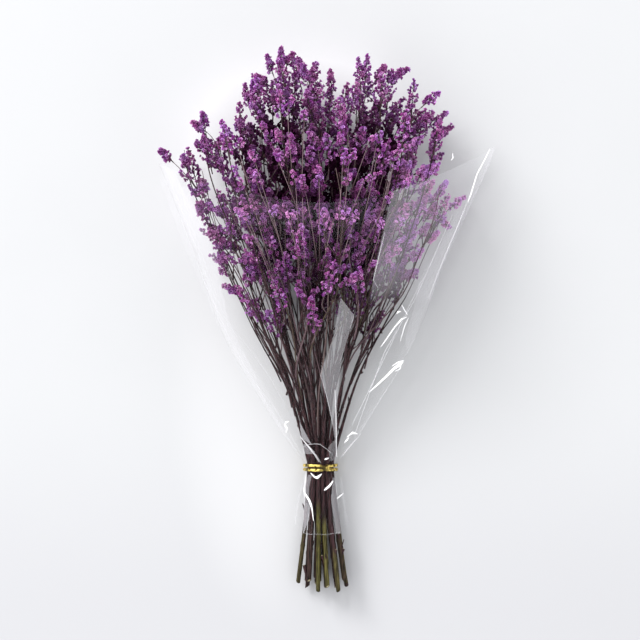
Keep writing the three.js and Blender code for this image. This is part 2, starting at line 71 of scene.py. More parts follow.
# %% [markdown]
# The camera looks straight down from 3 m, as for a product picture. A long lens keeps the tall flower head
# from looking larger than the flat sleeve. The picture is 640 pixels wide and shows one millimetre as one
# pixel at the height of the bunch's middle, so the lens follows from the distance.

# %% Camera
CAMERA_HEIGHT = 3.0
SUBJECT_HEIGHT = 0.03
PICTURE_WIDTH = 0.64
SENSOR_WIDTH = 36.0
camera = bpy.data.objects.new("camera", bpy.data.cameras.new("camera"))
scene.collection.objects.link(camera)
camera.location = (OFFSET[0] * MM, OFFSET[1] * MM, CAMERA_HEIGHT)
camera.data.sensor_width = SENSOR_WIDTH
camera.data.lens = SENSOR_WIDTH * (CAMERA_HEIGHT - SUBJECT_HEIGHT) / PICTURE_WIDTH
camera.data.clip_end = 50.0
scene.camera = camera
print("lens:", round(camera.data.lens, 1), "mm")

# %% [markdown]
# A material is a tree of nodes. Two small classes keep the trees short to write: Value wraps a node's
# output, so that plain Python sums add Math nodes, and Finish adds any other node with its settings and
# sockets.

# %% Node helpers
class Value:
    """A node's output. Sums on it become Math nodes in the same tree."""

    def __init__(self, finish, socket):
        self.finish, self.socket = finish, socket

    def maths(self, operation, first, second):
        return self.finish.node("ShaderNodeMath", {"operation": operation}, {0: first, 1: second})

    def __add__(self, other):
        return self.maths("ADD", self, other)

    def __radd__(self, other):
        return self.maths("ADD", other, self)

    def __sub__(self, other):
        return self.maths("SUBTRACT", self, other)

    def __rsub__(self, other):
        return self.maths("SUBTRACT", other, self)

    def __mul__(self, other):
        return self.maths("MULTIPLY", self, other)

    def __rmul__(self, other):
        return self.maths("MULTIPLY", other, self)

    def __pow__(self, other):
        return self.maths("POWER", self, other)


class Finish:
    """A material in the making."""

    def __init__(self, name):
        self.material = bpy.data.materials.new(name)
        self.material.use_nodes = True
        self.tree = self.material.node_tree
        self.tree.nodes.clear()

    def feed(self, socket, value):
        """Links a node's output to a socket, or sets the socket to a plain number or colour."""
        if isinstance(value, Value):
            self.tree.links.new(value.socket, socket)
        else:
            socket.default_value = value

    def node(self, kind, settings=None, sockets=None, output=0):
        """Adds a node: first its settings, then the values or links of its sockets."""
        made = self.tree.nodes.new(kind)
        for name, setting in (settings or {}).items():
            setattr(made, name, setting)
        for name, value in (sockets or {}).items():
            self.feed(made.inputs[name], value)
        return Value(self, made.outputs[output]) if made.outputs else None

    def place(self):
        return self.node("ShaderNodeTexCoord", output="Object")

    def attribute(self, name):
        return self.node("ShaderNodeAttribute", {"attribute_name": name}, output="Fac")

    def blend(self, share, first, second):
        """A colour share of the way from the first colour to the second."""
        sockets = {"Factor": share, "A": first, "B": second}
        made = self.tree.nodes.new("ShaderNodeMix")
        made.data_type = "RGBA"
        for socket in made.inputs:
            if socket.enabled and socket.name in sockets:
                self.feed(socket, sockets[socket.name])
        return Value(self, next(s for s in made.outputs if s.enabled))

    def grain(self, scale, detail, stretch=(1.0, 1.0, 1.0)):
        """Noise from 0 to 1 on Object coordinates, with scale lumps to a metre."""
        place = self.node("ShaderNodeMapping", {}, {"Vector": self.place(), "Scale": stretch})
        return self.node("ShaderNodeTexNoise", {}, {"Vector": place, "Scale": scale, "Detail": detail})

    def ease(self, value, low, high):
        """0 where the value is at low and 1 where it is at high, eased at both ends."""
        sockets = {"Value": value, "From Min": low, "From Max": high}
        return self.node("ShaderNodeMapRange", {"interpolation_type": "SMOOTHSTEP"}, sockets)

    def bump(self, height, distance, strength):
        """A surface that seems to rise with the height, by the distance in metres where that is one."""
        sockets = {"Height": height, "Distance": distance, "Strength": strength}
        return self.node("ShaderNodeBump", {}, sockets)

    def principled(self, sockets):
        """The shader for most surfaces, with its sockets."""
        return self.node("ShaderNodeBsdfPrincipled", {}, sockets)

    def surface(self, shader):
        """Ends the tree with the shader, and gives the finished material."""
        self.node("ShaderNodeOutputMaterial", {}, {"Surface": shader})
        return self.material


# %% [markdown]
# Every new piece is worked out as arrays of points and faces in millimetres. One function turns such arrays
# into a mesh, and moves it to the solids' frame in metres.

# %% Mesh helpers
added = []


def make_piece(name, points, quads, triangles, finish, slot, values, is_smooth=True):
    """Makes a mesh object from points, four-cornered faces, triangles and a value per point for each
    attribute."""
    mesh = bpy.data.meshes.new(name)
    mesh.vertices.add(len(points))
    mesh.vertices.foreach_set("co", ((points + OFFSET) * MM).ravel())
    corners = np.concatenate([quads.ravel(), triangles.ravel()]).astype(np.int32)
    mesh.loops.add(len(corners))
    mesh.loops.foreach_set("vertex_index", corners)
    starts = np.concatenate([np.arange(len(quads)) * 4, len(quads) * 4 + np.arange(len(triangles)) * 3])
    mesh.polygons.add(len(starts))
    mesh.polygons.foreach_set("loop_start", starts.astype(np.int32))
    mesh.polygons.foreach_set("use_smooth", np.full(len(starts), is_smooth))
    for label, numbers in values.items():
        layer = mesh.attributes.new(label, "FLOAT", "POINT")
        layer.data.foreach_set("value", np.asarray(numbers, np.float32).ravel())
    mesh.materials.append(finish)
    mesh.update(calc_edges=True)
    piece = bpy.data.objects.new(name, mesh)
    scene.collection.objects.link(piece)
    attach(piece, "root")
    added.append(piece)
    return piece


def triangle_count():
    """Triangles in all the pieces made so far."""
    for piece in added:
        piece.data.calc_loop_triangles()
    return sum(len(piece.data.loop_triangles) for piece in added)


def unit(vectors):
    """The same directions with length one."""
    return vectors / np.maximum(np.linalg.norm(vectors, axis=-1, keepdims=True), 1e-9)


def mix(first, second, share):
    """A share of the way from the first value to the second."""
    return first + (second - first) * share


def ease(value, low, high):
    """0 below low, 1 above high, and a smooth rise of 3 t squared less 2 t cubed between."""
    t = np.clip((value - low) / (high - low), 0, 1)
    return t * t * (3 - 2 * t)


def bell(value, middle, width):
    """1 at the middle, falling to both sides as e to the minus square of the distance over the width."""
    return np.exp(-(((value - middle) / width) ** 2))


# %% [markdown]
# The bunch is laid out along its length. A stem has a place across the bundle at the tie, and everything
# else follows from a few curves along Y: where the bundle's axis runs, how far the stems fan out, and how
# wide and how high the flower head and the sleeve are. Two more curves trim the head: top_y gives how far
# up its flowers reach at each X, with a notch near its middle, and right_x how far to the right at each Y.
# These are the same curves as in the CAD source.

# %% Curves along the bunch
def profile(*knots):
    """A smooth curve through knots of position and value: a cubic between each two, whose slope at a knot is
    that of the line through its neighbours. It stays level beyond both ends."""
    at, value = np.array(knots, float).T
    last = len(at) - 1
    before = np.maximum(np.arange(last + 1) - 1, 0)
    after = np.minimum(np.arange(last + 1) + 1, last)
    slope = (value[after] - value[before]) / (at[after] - at[before])

    def curve(position):
        i = np.clip(np.searchsorted(at, position) - 1, 0, last - 1)
        span = at[i + 1] - at[i]
        t = np.clip((position - at[i]) / span, 0, 1)
        t2, t3 = t * t, t * t * t
        level = (2 * t3 - 3 * t2 + 1) * value[i] + (3 * t2 - 2 * t3) * value[i + 1]
        return level + span * ((t3 - 2 * t2 + t) * slope[i] + (t3 - t2) * slope[i + 1])

    return curve


WAIST_LOW_Y, WAIST_HIGH_Y = TIE_Y - 5, TIE_Y + 5


def at_tie(value):
    """Two knots that keep a curve level where the tie holds the bundle."""
    return (WAIST_LOW_Y, value), (WAIST_HIGH_Y, value)


TIE_ROWS = [4, 5, 6, 5, 4]
CUT_RADIUS, WAIST_RADIUS, TIP_RADIUS = 2.3, 2.12, 0.75
PITCH = 2 * WAIST_RADIUS + 0.35
ROW_STEP = PITCH * np.sqrt(3) / 2
BUNDLE_HALF_X = (max(TIE_ROWS) - 1) / 2 * PITCH
BUNDLE_HALF_Z = (len(TIE_ROWS) - 1) / 2 * ROW_STEP
CUT_Y, TOP_Y = -271.0, 270.0

axis_x = profile((CUT_Y, 3), *at_tie(0.5), (0, 0), (150, 4), (TOP_Y, 6))
axis_z = profile(
    (CUT_Y, 13.4), (-200, 14.4), *at_tie(16), (-100, 22), (-50, 31), (0, 42),
    (50, 52), (100, 58), (150, 59), (200, 56), (TOP_Y, 50),
)
fan_x = profile(
    (CUT_Y, 25), (-200, 15.8), *at_tie(BUNDLE_HALF_X), (-100, 24),
    (-50, 44), (0, 68), (50, 92), (100, 114), (150, 132), (200, 143), (TOP_Y, 150),
)
fan_z = profile(
    (CUT_Y, 9.6), (-200, 8.6), *at_tie(BUNDLE_HALF_Z), (-100, 14),
    (-50, 24), (0, 33), (50, 41), (100, 45), (150, 46), (200, 44), (TOP_Y, 38),
)
side_sag = profile((-100, 0), (0, 8), (100, 22), (175, 22), (TOP_Y, 10))
twist = profile((WAIST_HIGH_Y, 0), (TOP_Y, 0.08))
head_x = profile((-70, 0), (130, 4), (200, 2), (225, 12), (250, 12), (TOP_Y, -14))
head_width = profile(
    (-70, 26), (-20, 56), (0, 70), (30, 92), (60, 110), (100, 130), (130, 140), (160, 138), (200, 127),
    (225, 102), (250, 76), (TOP_Y, 40),
)
head_height = profile((-70, 24), (0, 41), (50, 52), (100, 58), (150, 58), (200, 53), (250, 42), (TOP_Y, 30))
top_y = profile(
    (-160, 172), (-125, 198), (-100, 206), (-72, 238), (-40, 269), (-20, 262), (-6, 247), (8, 237),
    (24, 237), (34, 250), (46, 261), (72, 250), (105, 232), (125, 200), (150, 136),
)
right_x = profile((100, 150), (130, 118), (150, 107), (170, 106), (185, 116), (200, 130))


def sag(y, across_x, across_z):
    """How far a place in the bundle hangs below its own height: the sides hang most, and the lowest stems
    least."""
    return side_sag(y) * across_x**2 * (0.6 + 0.4 * across_z)


# %% [markdown]
# The sleeve is a flattened cone of film. Its front arches from the left seam up to one long crease, and
# falls in a flat facet from there to the right seam. Its back lies on the table. Where the tie gathers it,
# both halves round into a tube. The growth rule needs these surfaces too, because no floret may poke
# through the film.

# %% Surfaces of the sleeve
FILM, SEAM_WALL = 1.0, 1.8
TIE_HALF, TIE_TOP, TIE_BASE, TIE_MIDDLE = 16.2, 29.6, 2.4, 16.0
CREASE_SHARE, FLAT_SHARE = 0.44, 0.5
HEM_Y, HEM_CORNER_RISE = -215.0, 10.0
MOUTH_FRONT_Y, MOUTH_BACK_Y, CORNER_LEFT_Y, CORNER_RIGHT_Y = 113.5, 166.0, 156.0, 172.0

half_sleeve = profile(
    (-215, 29), (-185, 24.5), (-165, 19.5), *at_tie(TIE_HALF), (-137, 21),
    (-116, 37), (-78, 61), (-35, 86.5), (0, 103.5), (55, 122), (93, 138), (156, 165), (175, 171),
)
sleeve_top = profile(
    (-215, 28), (-185, 28.5), *at_tie(TIE_TOP), (-120, 38), (-80, 53),
    (-50, 65), (0, 90), (50, 113), (100, 123), (130, 124), (175, 122),
)
sleeve_seam = profile(
    (-215, 13), *at_tie(TIE_MIDDLE), (-100, 20), (0, 30), (100, 38),
    (175, 42),
)
sleeve_base = profile(
    (-215, 0.6), (-190, 0.8), *at_tie(TIE_BASE), (-120, 0.4), (-104, 0),
    (175, 0),
)
roundness = profile((-140, 1), (-110, 0.7), (-60, 0))


def arch(share, tubular):
    """One less a power of the share from the middle: flat-topped where the film spreads, round at the
    tie."""
    return (1 - np.minimum(np.abs(share), 1) ** mix(4, 2, tubular)) ** mix(1, 0.5, tubular)


def front_z(share, y, inset=0.0):
    """Height of the film's front: the arch as far as the crease, and a straight fall from there."""
    tubular = roundness(y)
    facet = arch(CREASE_SHARE, 0) * (1 - share) / (1 - CREASE_SHARE)
    arched = arch(share, tubular)
    bulge = np.where(share > CREASE_SHARE, mix(facet, arched, tubular), arched)
    return sleeve_seam(y) + (sleeve_top(y) - sleeve_seam(y) - inset) * bulge


def back_z(share, y, inset=0.0):
    """Height of the film's back: flat on the table as far as FLAT_SHARE, and curving up to the seams."""
    reach = np.minimum(np.abs(share), 1)
    tubular = 1 - np.sqrt(1 - reach * reach)
    lifted = np.maximum(0, (reach - FLAT_SHARE) / (1 - FLAT_SHARE)) ** 1.6
    rise = mix(lifted, tubular, roundness(y))
    return sleeve_base(y) + inset + (sleeve_seam(y) - sleeve_base(y) - inset) * rise


def mouth_y(share, is_front):
    """How far along Y the film reaches: its corners reach further than its front's middle."""
    corner = np.where(share < 0, CORNER_LEFT_Y, CORNER_RIGHT_Y)
    return mix(MOUTH_FRONT_Y if is_front else MOUTH_BACK_Y, corner, share**2)


def fan_share(x, y):
    """Place across the fan of stems, from -1 at its left edge to 1 at its right."""
    return (x - axis_x(y)) / fan_x(y)


def head_share(x, y):
    """Place across the flower head, from -1 to 1."""
    return (x - head_x(y)) / head_width(y)


def sleeve_share(x, y):
    """Place across the sleeve, from -1 at its left seam to 1 at its right."""
    return (x - axis_x(y)) / half_sleeve(y)


# %% [markdown]
# A plant grows by a rule with chance in it. Here the chance comes from a short formula instead of a
# library, so that the CAD source and this script draw the same numbers and grow the same bunch: the same 24
# stems, and the same plumes in the same places.

# %% The main stems
SEED, TAIL_SEED, TRIES = 20417, 311, 60000
CUT_ENDS = {9: -263, 14: -263, 20: -258, 21: -271, 22: -267, 23: -271}
STEMS = sum(TIE_ROWS)


def draws(seed, count):
    """Repeatable numbers from 0 to 1: each whole number is the last one times a constant plus another, cut
    to 32 bits, and divided by 2 to the 32nd."""
    states = accumulate(range(count), lambda state, _: (state * 1664525 + 1013904223) % 2**32, initial=seed)
    return np.array(list(states)[1:]) / 2**32


chance = draws(SEED, 4 * STEMS + 8 * TRIES)
stem_chance = chance[: 4 * STEMS].reshape(-1, 4)
counts = np.repeat(TIE_ROWS, TIE_ROWS)
across_x = (np.concatenate([np.arange(n) for n in TIE_ROWS]) - (counts - 1) / 2) * PITCH / BUNDLE_HALF_X
across_z = (np.repeat(np.arange(5), TIE_ROWS) - 2) * ROW_STEP / BUNDLE_HALF_Z
cut_y = mix(CUT_Y, -258.0, stem_chance[:, 0])
cut_y[list(CUT_ENDS)] = list(CUT_ENDS.values())
splay = 4 * (counts % 2) + 2 * (draws(TAIL_SEED, STEMS) - 0.5)
tip_y = top_y(axis_x(TOP_Y) + 144 * across_x) - 26 * across_z**2 - 18 * stem_chance[:, 1]
lean = (stem_chance[:, 2:] - 0.5) * [14, 10]
stem_radius = profile(
    (CUT_Y, CUT_RADIUS), *at_tie(WAIST_RADIUS), (-40, 1.5), (100, 1.05),
    (TOP_Y, TIP_RADIUS),
)


def bundle_point(place_x, place_z, y):
    """A place across the bundle at y, turned by the twist and scaled by the fan."""
    c, s = np.cos(twist(y)), np.sin(twist(y))
    x = axis_x(y) + fan_x(y) * (place_x * c - place_z * s)
    z = axis_z(y) - sag(y, place_x, place_z) + fan_z(y) * (place_x * s + place_z * c)
    return np.stack([x, y + 0 * x, z], axis=-1)


def stem_point(i, y):
    """Centre of main stem i at y: its place in the bundle, a lean that grows as the square of the height,
    and below the tie a splay that grows evenly to the cut end."""
    swing = np.clip((y - 20) / (tip_y[i] - 20), 0, 1) ** 2
    aside = lean[i, 0] * swing + splay[i] * np.clip((WAIST_LOW_Y - y) / (WAIST_LOW_Y - CUT_Y), 0, 1)
    leaning = np.stack([aside, 0 * swing, lean[i, 1] * swing], axis=-1)
    return bundle_point(across_x[i], across_z[i], y) + leaning


print(STEMS, "main stems, the longest", round(float(tip_y.max() - CUT_Y)), "mm")

# %% [markdown]
# Plumes are thrown at the flower head at random and kept where there is room, as on the plant, where a twig
# that meets another doesn't flower. All throws are first judged together, as arrays, for their place in the
# head and in the sleeve. The few that pass are then added one at a time, because each depends on those
# before it.

# %% Throw the plumes
LOWEST_FLOWER_Y, HIGHEST_FLOWER_Y = -62.0, 270.0
PLUME_LENGTHS, PLUME_RADII, NECK_SHARE, NECK_RADIUS = (30, 46), (6.4, 9), 0.28, 1.6
APEX = np.array([0.0, -205.0, 8.0])
CLEARANCE, TABLE_GAP = 0.6, 0.4
FLORET_SPREAD, WIDEST_SHARE = 1.25, 0.97
flowering = profile((-62, 0.03), (-20, 0.22), (20, 0.6), (60, 1), (TOP_Y, 1))
bare_core = profile((-62, 0.93), (0, 0.78), (60, 0.55), (120, 0.3), (200, 0))


def has_room(point, radius):
    """True where a ball stays inside the sleeve, as far as there is sleeve, and off the table beyond it."""
    x, y, z = np.moveaxis(point, -1, 0)
    reach = radius * FLORET_SPREAD + CLEARANCE
    fits = z >= reach + TABLE_GAP
    for side in (-1, 1):
        share = (x + side * reach - axis_x(y)) / (half_sleeve(y) - SEAM_WALL)
        beyond = y > mouth_y(np.clip(share, -1, 1), False) + reach
        held = (np.abs(share) <= WIDEST_SHARE) & (z - reach >= back_z(share, y, FILM))
        uncovered = (y > mouth_y(share, True) + reach) | (z + reach < front_z(share, y, FILM))
        fits &= beyond | (held & uncovered)
    return fits


def plume_capsules(base, heading, length, radius):
    """A plume's neck and its flowering part, as two round-ended rods: their ends and radii."""
    neck = base + heading * length[..., None] * NECK_SHARE
    end = base + heading * (length - radius * 0.7)[..., None]
    return (base, neck, NECK_RADIUS + 0 * radius), (neck, end, radius)


throw = chance[4 * STEMS :].reshape(-1, 8)
throw_y = mix(LOWEST_FLOWER_Y, HIGHEST_FLOWER_Y, throw[:, 0])
out = np.sqrt(throw[:, 1])
head_area = head_width(throw_y) * head_height(throw_y) / (head_width(130) * head_height(130))
wanted = (out >= bare_core(throw_y)) & (throw[:, 3] <= flowering(throw_y) * head_area)
turn = 2 * np.pi * throw[:, 2]
out_x, out_z = out * np.cos(turn), out * np.sin(turn)
tip_x = head_x(throw_y) + head_width(throw_y) * out_x
tip_z = axis_z(throw_y) - sag(throw_y, out_x, out_z) + head_height(throw_y) * out_z
tips = np.stack([tip_x, throw_y, tip_z], axis=-1)
wanted &= (throw_y <= top_y(tip_x) + 2) & (tip_x <= right_x(throw_y))
spread = np.stack(
    [0.42 * out_x + 0.42 * (throw[:, 6] - 0.5), 0 * out_x, 0.16 * out_z + 0.36 * (throw[:, 7] - 0.5)], axis=-1
)
headings = unit(unit(tips - APEX) + spread)
lengths, girths = mix(*PLUME_LENGTHS, throw[:, 4]), mix(*PLUME_RADII, throw[:, 5])
bases = tips - headings * lengths[:, None]
for start, end, radius in plume_capsules(bases, headings, lengths, girths):
    wanted &= has_room(start, radius) & has_room(end, radius)
print(int(wanted.sum()), "of", TRIES, "throws have a place in the head")

# %% [markdown]
# Each accepted plume is joined to the nearest spray by a twig, which leaves a lower branch at a narrow
# angle and may not touch another spray. Rods with round ends stand for all that has grown so far, so the
# test is the least distance between two straight segments, worked out for all rods at once.

# %% Grow the twigs
PLUMES, CROWD_RANGE, MOST_CROWDED, MOST_SUNK = 178, 13, 2, 3.2
SHORTEST_TWIG, LONGEST_TWIG, LEAST_LEAVING, LEAST_ARRIVING = 6, 210, 0.78, 0.62
NODE_STEP, CROWN_LENGTH = 11, 38
CROWN_PLUME = np.array([CROWN_LENGTH + 2.0, 7.6])
STEM_ROWS = np.array([-205, WAIST_LOW_Y, WAIST_HIGH_Y, -100, -40, 30, 100, 165])
no_points = np.zeros((0, 3))
rods = SimpleNamespace(start=no_points, end=no_points, radius=np.zeros(0), spray=np.zeros(0, int))


def segment_gap(a0, a1, b0, b1):
    """Least distance from the segment a0 to a1 to each segment b0 to b1: the nearest point of one line to
    the other, held to the segment, then the nearest to that on the other, held too."""
    u, v, w = a1 - a0, b1 - b0, a0 - b0
    uu, uv, vv = u @ u, v @ u, (v * v).sum(-1)
    uw, vw = w @ u, (v * w).sum(-1)
    span = uu * vv - uv * uv
    s = np.where(span > 1e-9, np.clip((uv * vw - vv * uw) / np.maximum(span, 1e-9), 0, 1), 0)
    t = np.clip((uv * s + vw) / vv, 0, 1)
    s = np.clip((uv * t - uw) / uu, 0, 1)
    return np.linalg.norm(a0 + u * s[:, None] - b0 - v * t[:, None], axis=-1)


def is_clear(new_rods, spray, clearance):
    """True where the new rods stay that far off the rods of every other spray."""
    other = rods.spray != spray
    start, end, radius = rods.start[other], rods.end[other], rods.radius[other]
    return all((segment_gap(a, b, start, end) > r + radius + clearance).all() for a, b, r in new_rods)


def keep_rods(new_rods, spray):
    """Adds rods to all that has grown so far."""
    rods.start = np.concatenate([rods.start, [a for a, b, r in new_rods]])
    rods.end = np.concatenate([rods.end, [b for a, b, r in new_rods]])
    rods.radius = np.concatenate([rods.radius, [r for a, b, r in new_rods]])
    rods.spray = np.concatenate([rods.spray, [spray] * len(new_rods)])


def rods_along(points, radii):
    """A rod from each point to the next."""
    return list(zip(points[:-1], points[1:], np.maximum(radii[:-1], radii[1:])))


def growth_nodes(points, radii, course, first=0.0, last=1.0):
    """Places a later twig can leave from, about 11 mm apart: the point, the heading and the radius there,
    and the same place on the smooth course that the finished branch takes."""
    nodes = []
    ways = np.diff(points, axis=0)
    for k, length in enumerate(np.linalg.norm(ways, axis=1)):
        steps = max(1, int(length / NODE_STEP + 0.5))
        for i in range(steps):
            along = (k + i / steps) / len(ways)
            if first <= along <= last:
                radius = mix(radii[k], radii[k + 1], i / steps)
                at = points[k] + ways[k] * i / steps
                nodes.append(np.concatenate([at, ways[k] / length, [radius], course(along)]))
    return np.array(nodes).reshape(-1, 10)


def stem_course(i, rows):
    """The course of main stem i, from 0 at the first of its rows to 1 at the last."""
    return lambda along: stem_point(i, np.interp(along * (len(rows) - 1), np.arange(len(rows)), rows))


def twig_course(root, root_heading, plume_base, plume_heading):
    """A cubic that leaves the root between the branch's heading and the plume, and arrives along the
    plume."""
    length = np.linalg.norm(plume_base - root)
    bend = plume_base - 0.45 * length * plume_heading
    first = root + 0.36 * length * unit(root_heading + unit(bend - root))
    second = plume_base - 0.3 * length * plume_heading

    def course(t):
        t = np.asarray(t, float)[..., None]
        far = 3 * (1 - t) * t * t * second + t**3 * plume_base
        return (1 - t) ** 3 * root + 3 * (1 - t) ** 2 * t * first + far

    return course


def ways_to(place, spray):
    """The way to a place from each growth node of a spray, its length, and the cosine at which it leaves."""
    way = place - spray.nodes[:, :3]
    length = np.linalg.norm(way, axis=1)
    return way, length, (way * spray.nodes[:, 3:6]).sum(-1) / np.maximum(length, 1e-9)


def twig_to(base, heading, spray):
    """Points and radii of a twig from a lower branch of the spray to a plume's base, its cost the least of
    the ten best that are free, or None."""
    way, length, leaving = ways_to(base, spray)
    arriving = way @ heading / np.maximum(length, 1e-9)
    usable = (length >= SHORTEST_TWIG) & (length <= LONGEST_TWIG)
    usable &= (leaving >= LEAST_LEAVING) & (arriving >= LEAST_ARRIVING)
    cost = np.where(usable, length * (3.4 - 1.4 * leaving - arriving), np.inf)
    for n in np.argsort(cost, kind="stable")[: min(10, usable.sum())]:
        segments = int(np.clip(int(length[n] / 42 + 0.5), 1, 3))
        t = (np.arange(segments + 1) / segments)[:, None]
        bend = base - 0.45 * length[n] * heading
        points = (1 - t) ** 2 * spray.nodes[n, :3] + 2 * t * (1 - t) * bend + t * t * base
        radii = mix(min(1.0, 0.85 * spray.nodes[n, 6] + 0.1), 0.7, t[:, 0])
        if has_room(points, 1.0).all() and is_clear(rods_along(points, radii), spray.number, CLEARANCE):
            course = twig_course(spray.nodes[n, 7:10], spray.nodes[n, 3:6], base, heading)
            return points, radii, course
    return None


def twig_of(course, radii, paleness=0.6):
    """What is kept of a twig: its course, its radii at both ends, and how pale it dries towards its tip."""
    return SimpleNamespace(course=course, ends=(radii[0], radii[-1]), paleness=paleness)


def columns(axes):
    """A list of plumes or sprigs as arrays: their bases, headings, lengths, radii and sprays."""
    return tuple(np.array(column) for column in zip(*axes))


# %% Grow the sprays
sprays, plumes = [], []
for i in range(STEMS):
    end = tip_y[i] - CROWN_LENGTH
    rows = np.array([cut_y[i], *STEM_ROWS[STEM_ROWS < end - 24], end])
    points, radii = stem_point(i, rows), stem_radius(rows)
    nodes = growth_nodes(points, radii, stem_course(i, rows))
    spray = SimpleNamespace(number=i, top=end, nodes=nodes[nodes[:, 1] > TIE_Y + 14], twigs=[])
    sprays.append(spray)
    keep_rods(rods_along(points, radii), i)
for spray in sprays:
    tip = stem_point(spray.number, tip_y[spray.number])
    heading = unit(tip - stem_point(spray.number, spray.top))
    base = tip - heading * CROWN_PLUME[0]
    keep_rods(plume_capsules(base, heading, *CROWN_PLUME), spray.number)
    plumes.append((base, heading, *CROWN_PLUME, spray.number))
middles = np.array([(base + heading * length / 2)[:2] for base, heading, length, radius, spray in plumes])
for k in np.flatnonzero(wanted):
    if len(plumes) >= PLUMES:
        break
    base, heading, length, radius = bases[k], headings[k], lengths[k], girths[k]
    middle = ((base + tips[k]) / 2)[:2]
    if (np.abs(middles - middle) < CROWD_RANGE).all(axis=1).sum() > MOST_CROWDED:
        continue
    fan_place = fan_share(*base[:2]), (base[2] - axis_z(base[1])) / fan_z(base[1])
    beyond = np.maximum(0, base[1] - (tip_y - 30)) / 60
    away = (across_x - fan_place[0]) ** 2 + (across_z - fan_place[1]) ** 2 + beyond**2
    spray = sprays[int(np.argmin(away))]
    body = list(plume_capsules(base, heading, length, radius))
    if not is_clear(body, spray.number, CLEARANCE) or not is_clear(body, -1, -MOST_SUNK):
        continue
    twig = twig_to(base, heading, spray)
    if twig is None:
        continue
    points, radii, course = twig
    spray.twigs.append(twig_of(course, radii))
    spray.nodes = np.concatenate([spray.nodes, growth_nodes(points, radii, course, 0.3, 0.95)])
    keep_rods(rods_along(points, radii) + body, spray.number)
    plumes.append((base, heading, length, radius, spray.number))
    middles = np.concatenate([middles, [middle]])
print(len(plumes), "plumes on", sum(len(spray.twigs) for spray in sprays), "twigs")

# %% Check the growth against the solids
base, heading, length, _, grower = columns(plumes)
reach_y = base[:, 1] + heading[:, 1] * length
worst = 0.0
for spray in sprays:
    low, high = (np.array(corner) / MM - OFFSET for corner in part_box(f"spray_{spray.number + 1:02d}"))
    worst = max(worst, abs(reach_y[grower == spray.number].max() - high[1]))
print("the tips are within", round(float(worst), 2), "mm of the solids")

# %% [markdown]
# Stems, twigs and branchlets are all tubes: a ring carried along a line. Many lines with the same number of
# points are skinned at once. Each ring lies across its line, turned by two unit vectors at right angles to
# the heading.

# %% Tubes
def grid_faces(rows, columns, is_closed):
    """Four-cornered faces between the rows of a grid. Where it is closed, its last column joins its
    first."""
    k, j = np.meshgrid(np.arange(rows - 1), np.arange(columns - 1 + is_closed), indexing="ij")
    low, high, after = k * columns, (k + 1) * columns, (j + 1) % columns
    return np.stack([low + j, low + after, high + after, high + j], axis=-1).reshape(-1, 4)


def skin(rows, sides):
    """Faces of one tube of rows rings: four-cornered ones between rings, and three-cornered ones round the
    poles, which are the last two points."""
    j = np.arange(sides)
    after = (j + 1) % sides
    top = (rows - 1) * sides
    low = np.stack([np.full(sides, rows * sides), after, j], axis=-1)
    high = np.stack([np.full(sides, rows * sides + 1), top + j, top + after], axis=-1)
    return grid_faces(rows, sides, True), np.concatenate([low, high])


def square_pair(aside, ahead):
    """Two unit vectors at right angles to a heading: the first also to the vector aside, the second to the
    first."""
    first = unit(np.cross(aside, ahead))
    return first, np.cross(ahead, first)


def across(lines):
    """The heading at each point of each line, and two unit vectors across it."""
    steps = np.diff(lines, axis=1)
    ahead = unit(np.concatenate([steps[:, :1], steps[:, 1:] + steps[:, :-1], steps[:, -1:]], axis=1))
    chord = np.abs(lines[:, -1] - lines[:, 0])
    aside = np.where((chord[:, 2] > 0.7 * np.linalg.norm(chord, axis=1))[:, None], [1.0, 0, 0], [0, 0, 1.0])
    return ahead, *square_pair(aside[:, None], ahead)


def tubes(lines, radii, sides, lift=None):
    """Points and faces of round tubes along lines of points: each ring is the line's point plus the radius
    times the cosine and sine of an even turn along the two vectors across. lift slides ring points along the
    line."""
    ahead, first, second = across(lines)
    turn = 2 * np.pi * np.arange(sides)[:, None] / sides
    ring = first[:, :, None] * np.cos(turn) + second[:, :, None] * np.sin(turn)
    rings = lines[:, :, None] + radii[:, :, None, None] * ring
    if lift is not None:
        rings = rings + lift[..., None] * ahead[:, :, None]
    count, rows = lines.shape[:2]
    points = np.concatenate([rings.reshape(count, -1, 3), lines[:, :1], lines[:, -1:]], axis=1)
    quads, triangles = skin(rows, sides)
    first_point = np.arange(count)[:, None, None] * points.shape[1]
    return points, (quads + first_point).reshape(-1, 4), (triangles + first_point).reshape(-1, 3)


def ring_values(values, sides):
    """One value for each ring of each tube, given to the ring's points and to the poles at both ends."""
    values = np.atleast_2d(values)
    return np.concatenate([np.repeat(values, sides, axis=1), values[:, :1], values[:, -1:]], axis=1)


def strip(line, outward, half, thick, ripple, sides):
    """A flat strip along a closed or open line: an oval section, half wide each way along the third
    direction and thick across, whose edge ripples."""
    count = len(line)
    steps = unit(np.gradient(line, axis=0))
    side = unit(np.cross(steps, outward))
    turn = 2 * np.pi * np.arange(sides) / sides
    c, s = np.cos(turn), np.sin(turn)
    wide = np.sign(c) * np.abs(c) ** 0.7 * half
    tall = np.sign(s) * np.abs(s) ** 0.7 * thick / 2
    swell = 1 + ripple * np.sin(np.arange(count)[:, None] * 2.1 + 3 * turn)
    across_it = side[:, None] * (wide * swell)[..., None]
    through_it = outward[:, None] * (tall * swell)[..., None]
    points = line[:, None] + across_it + through_it
    quads, triangles = skin(count, sides)
    return np.concatenate([points.reshape(-1, 3), line[:1], line[-1:]]), quads, triangles


